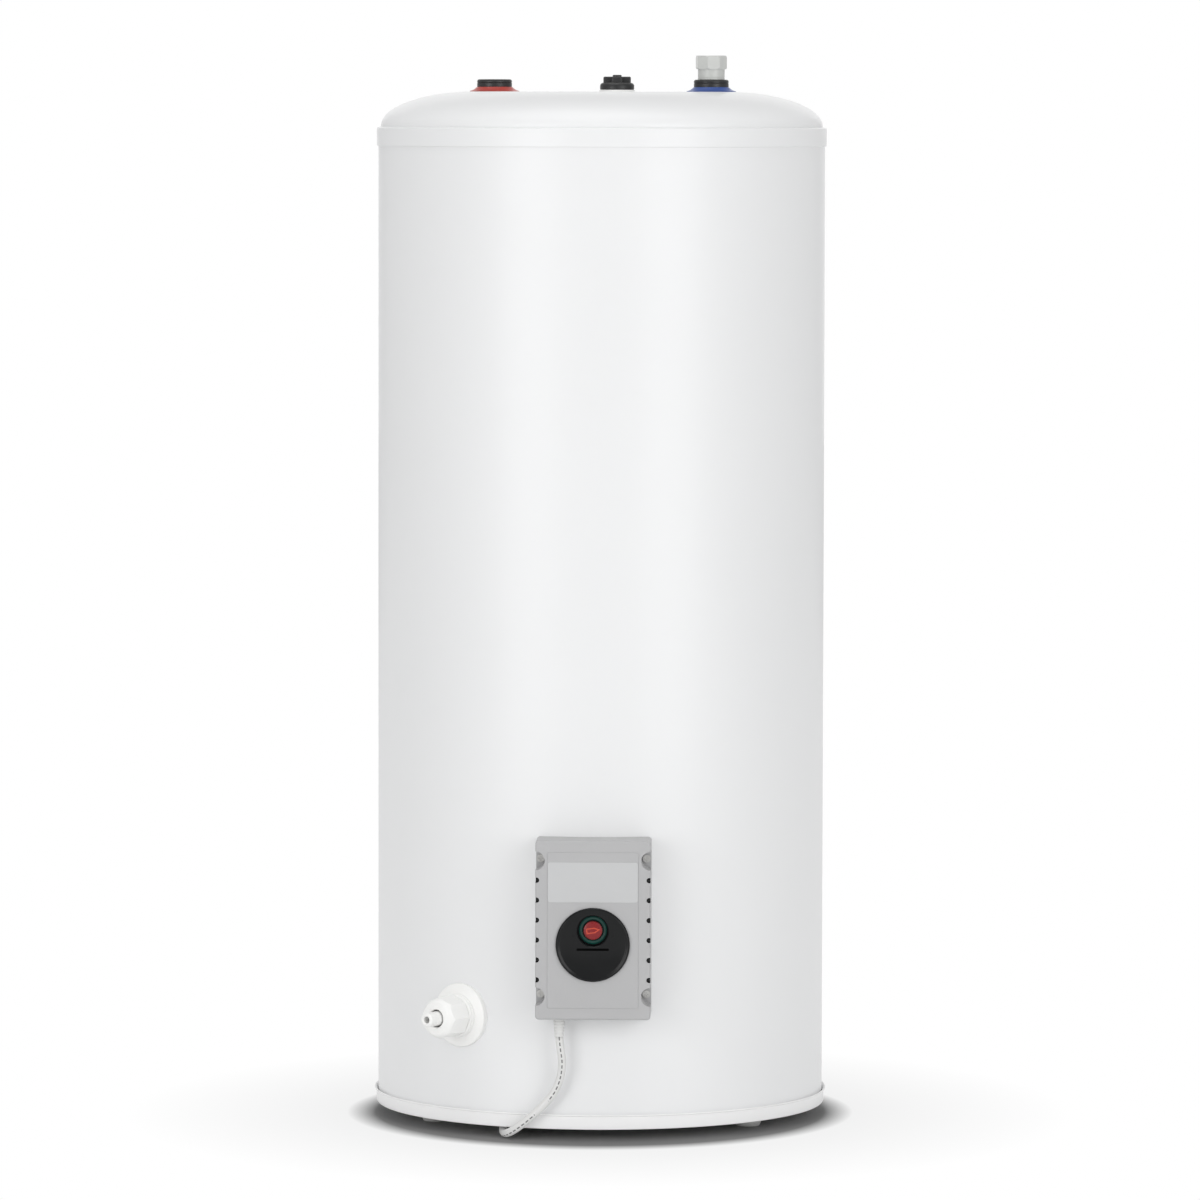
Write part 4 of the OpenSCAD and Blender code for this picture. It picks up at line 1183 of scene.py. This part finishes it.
studio = {
    "floorSize": 14,
    "floorColor": 0.86,
    # The floor's painted shadow: darker sets how much darker the camera sees the floor, near, far and reach how far
    # the shadow spreads
    "darker": 0.62,  # how much darker the floor looks than it lights
    "near": (0.238, 0.268, 0.86),  # from, to and share of white around the foot
    "far": (0.268, 0.5, 0.14),
    "reach": 0.9,  # lets the shadow run further to the front and back
    "world": 0.57,
    "aim": (0, 0, 0.55),
}


# White to the camera away from the heater, and dark close round it: a painted shadow, by a darker tone for the
# camera, on top of the shadow the lamps cast
def makeFloor():
    material = bpy.data.materials.new("studioFloor")
    material.use_nodes = True
    tree = material.node_tree
    shader = tree.nodes["Principled BSDF"]
    output = tree.nodes["Material Output"]
    shader.inputs["Roughness"].default_value = 0.9
    shader.inputs["Specular IOR Level"].default_value = 0
    glow = addNode(tree, "ShaderNodeEmission")
    glow.inputs["Color"].default_value = shade(1)
    glow.inputs["Strength"].default_value = 1
    coords = addNode(tree, "ShaderNodeTexCoord")
    split = addNode(tree, "ShaderNodeSeparateXYZ")
    tree.links.new(coords.outputs["Object"], split.inputs[0])
    squareX = mathNode(tree, "MULTIPLY", split.outputs["X"], split.outputs["X"])
    inY = mathNode(tree, "MULTIPLY", split.outputs["Y"], studio["reach"])
    squareY = mathNode(tree, "MULTIPLY", inY, inY)
    away = mathNode(tree, "SQRT", mathNode(tree, "ADD", squareX, squareY), 0)
    shares = []
    for start, end, share in (studio["near"], studio["far"]):
        ramp = mathNode(tree, "DIVIDE", mathNode(tree, "SUBTRACT", away, start), end - start, True)
        shares.append(mathNode(tree, "MULTIPLY", ramp, share))
    fade = mathNode(tree, "ADD", shares[0], shares[1], True)
    path = addNode(tree, "ShaderNodeLightPath")
    seen = mathNode(tree, "MAXIMUM", path.outputs["Is Camera Ray"], path.outputs["Is Glossy Ray"])
    seen = mathNode(tree, "MAXIMUM", seen, path.outputs["Is Transmission Ray"])
    # Camera rays see a darker floor than it lights with: painted shadow round the heater
    tone = mathNode(tree, "SUBTRACT", studio["floorColor"], mathNode(tree, "MULTIPLY", seen, studio["darker"]))
    tree.links.new(tone, shader.inputs["Base Color"])
    mix = addNode(tree, "ShaderNodeMixShader")
    tree.links.new(mathNode(tree, "MULTIPLY", fade, seen), mix.inputs["Fac"])
    tree.links.new(shader.outputs[0], mix.inputs[1])
    tree.links.new(glow.outputs[0], mix.inputs[2])
    tree.links.new(mix.outputs[0], output.inputs["Surface"])
    bm = bmesh.new()
    bmesh.ops.create_grid(bm, x_segments=1, y_segments=1, size=studio["floorSize"] / 2)
    addStage("studioFloor", meshFrom(bm, "studioFloor"), material)


def makeWorld():
    world = bpy.data.worlds.new("studioWorld")
    scene.world = world
    world.use_nodes = True
    tree = world.node_tree
    back = tree.nodes["Background"]
    back.inputs["Color"].default_value = shade(1)
    back.inputs["Strength"].default_value = studio["world"]
    white = addNode(tree, "ShaderNodeBackground")
    white.inputs["Color"].default_value = shade(1)
    white.inputs["Strength"].default_value = 1
    path = addNode(tree, "ShaderNodeLightPath")
    seen = mathNode(tree, "MAXIMUM", path.outputs["Is Camera Ray"], path.outputs["Is Transmission Ray"])
    mix = addNode(tree, "ShaderNodeMixShader")
    tree.links.new(seen, mix.inputs["Fac"])
    tree.links.new(back.outputs[0], mix.inputs[1])
    tree.links.new(white.outputs[0], mix.inputs[2])
    tree.links.new(mix.outputs[0], tree.nodes["World Output"].inputs["Surface"])


lamps = {
    "keyLeft": {"at": (-2.5, -3.6, 0.95), "size": (2.2, 2.6), "power": 51},
    "keyRight": {"at": (2.6, -3.4, 1.3), "size": (2.2, 2.6), "power": 49},
    "top": {"at": (-0.3, -0.4, 3.4), "size": (2.2, 2.2), "power": 19},
    "back": {"at": (0, 3.6, 1.5), "size": (3, 2), "power": 16},
}


def makeLamps():
    for name, lamp in lamps.items():
        data = bpy.data.lights.new(name, "AREA")
        data.shape = "RECTANGLE"
        data.size, data.size_y = lamp["size"]
        data.energy = lamp["power"]
        obj = bpy.data.objects.new(name, data)
        scene.collection.objects.link(obj)
        aim = Vector(studio["aim"]) - Vector(lamp["at"])
        obj.matrix_world = Matrix.Translation(lamp["at"]) @ aim.to_track_quat("-Z", "Y").to_matrix().to_4x4()


makeFloor()
makeWorld()
makeLamps()
scene.view_settings.view_transform = "Standard"
print("studio made")
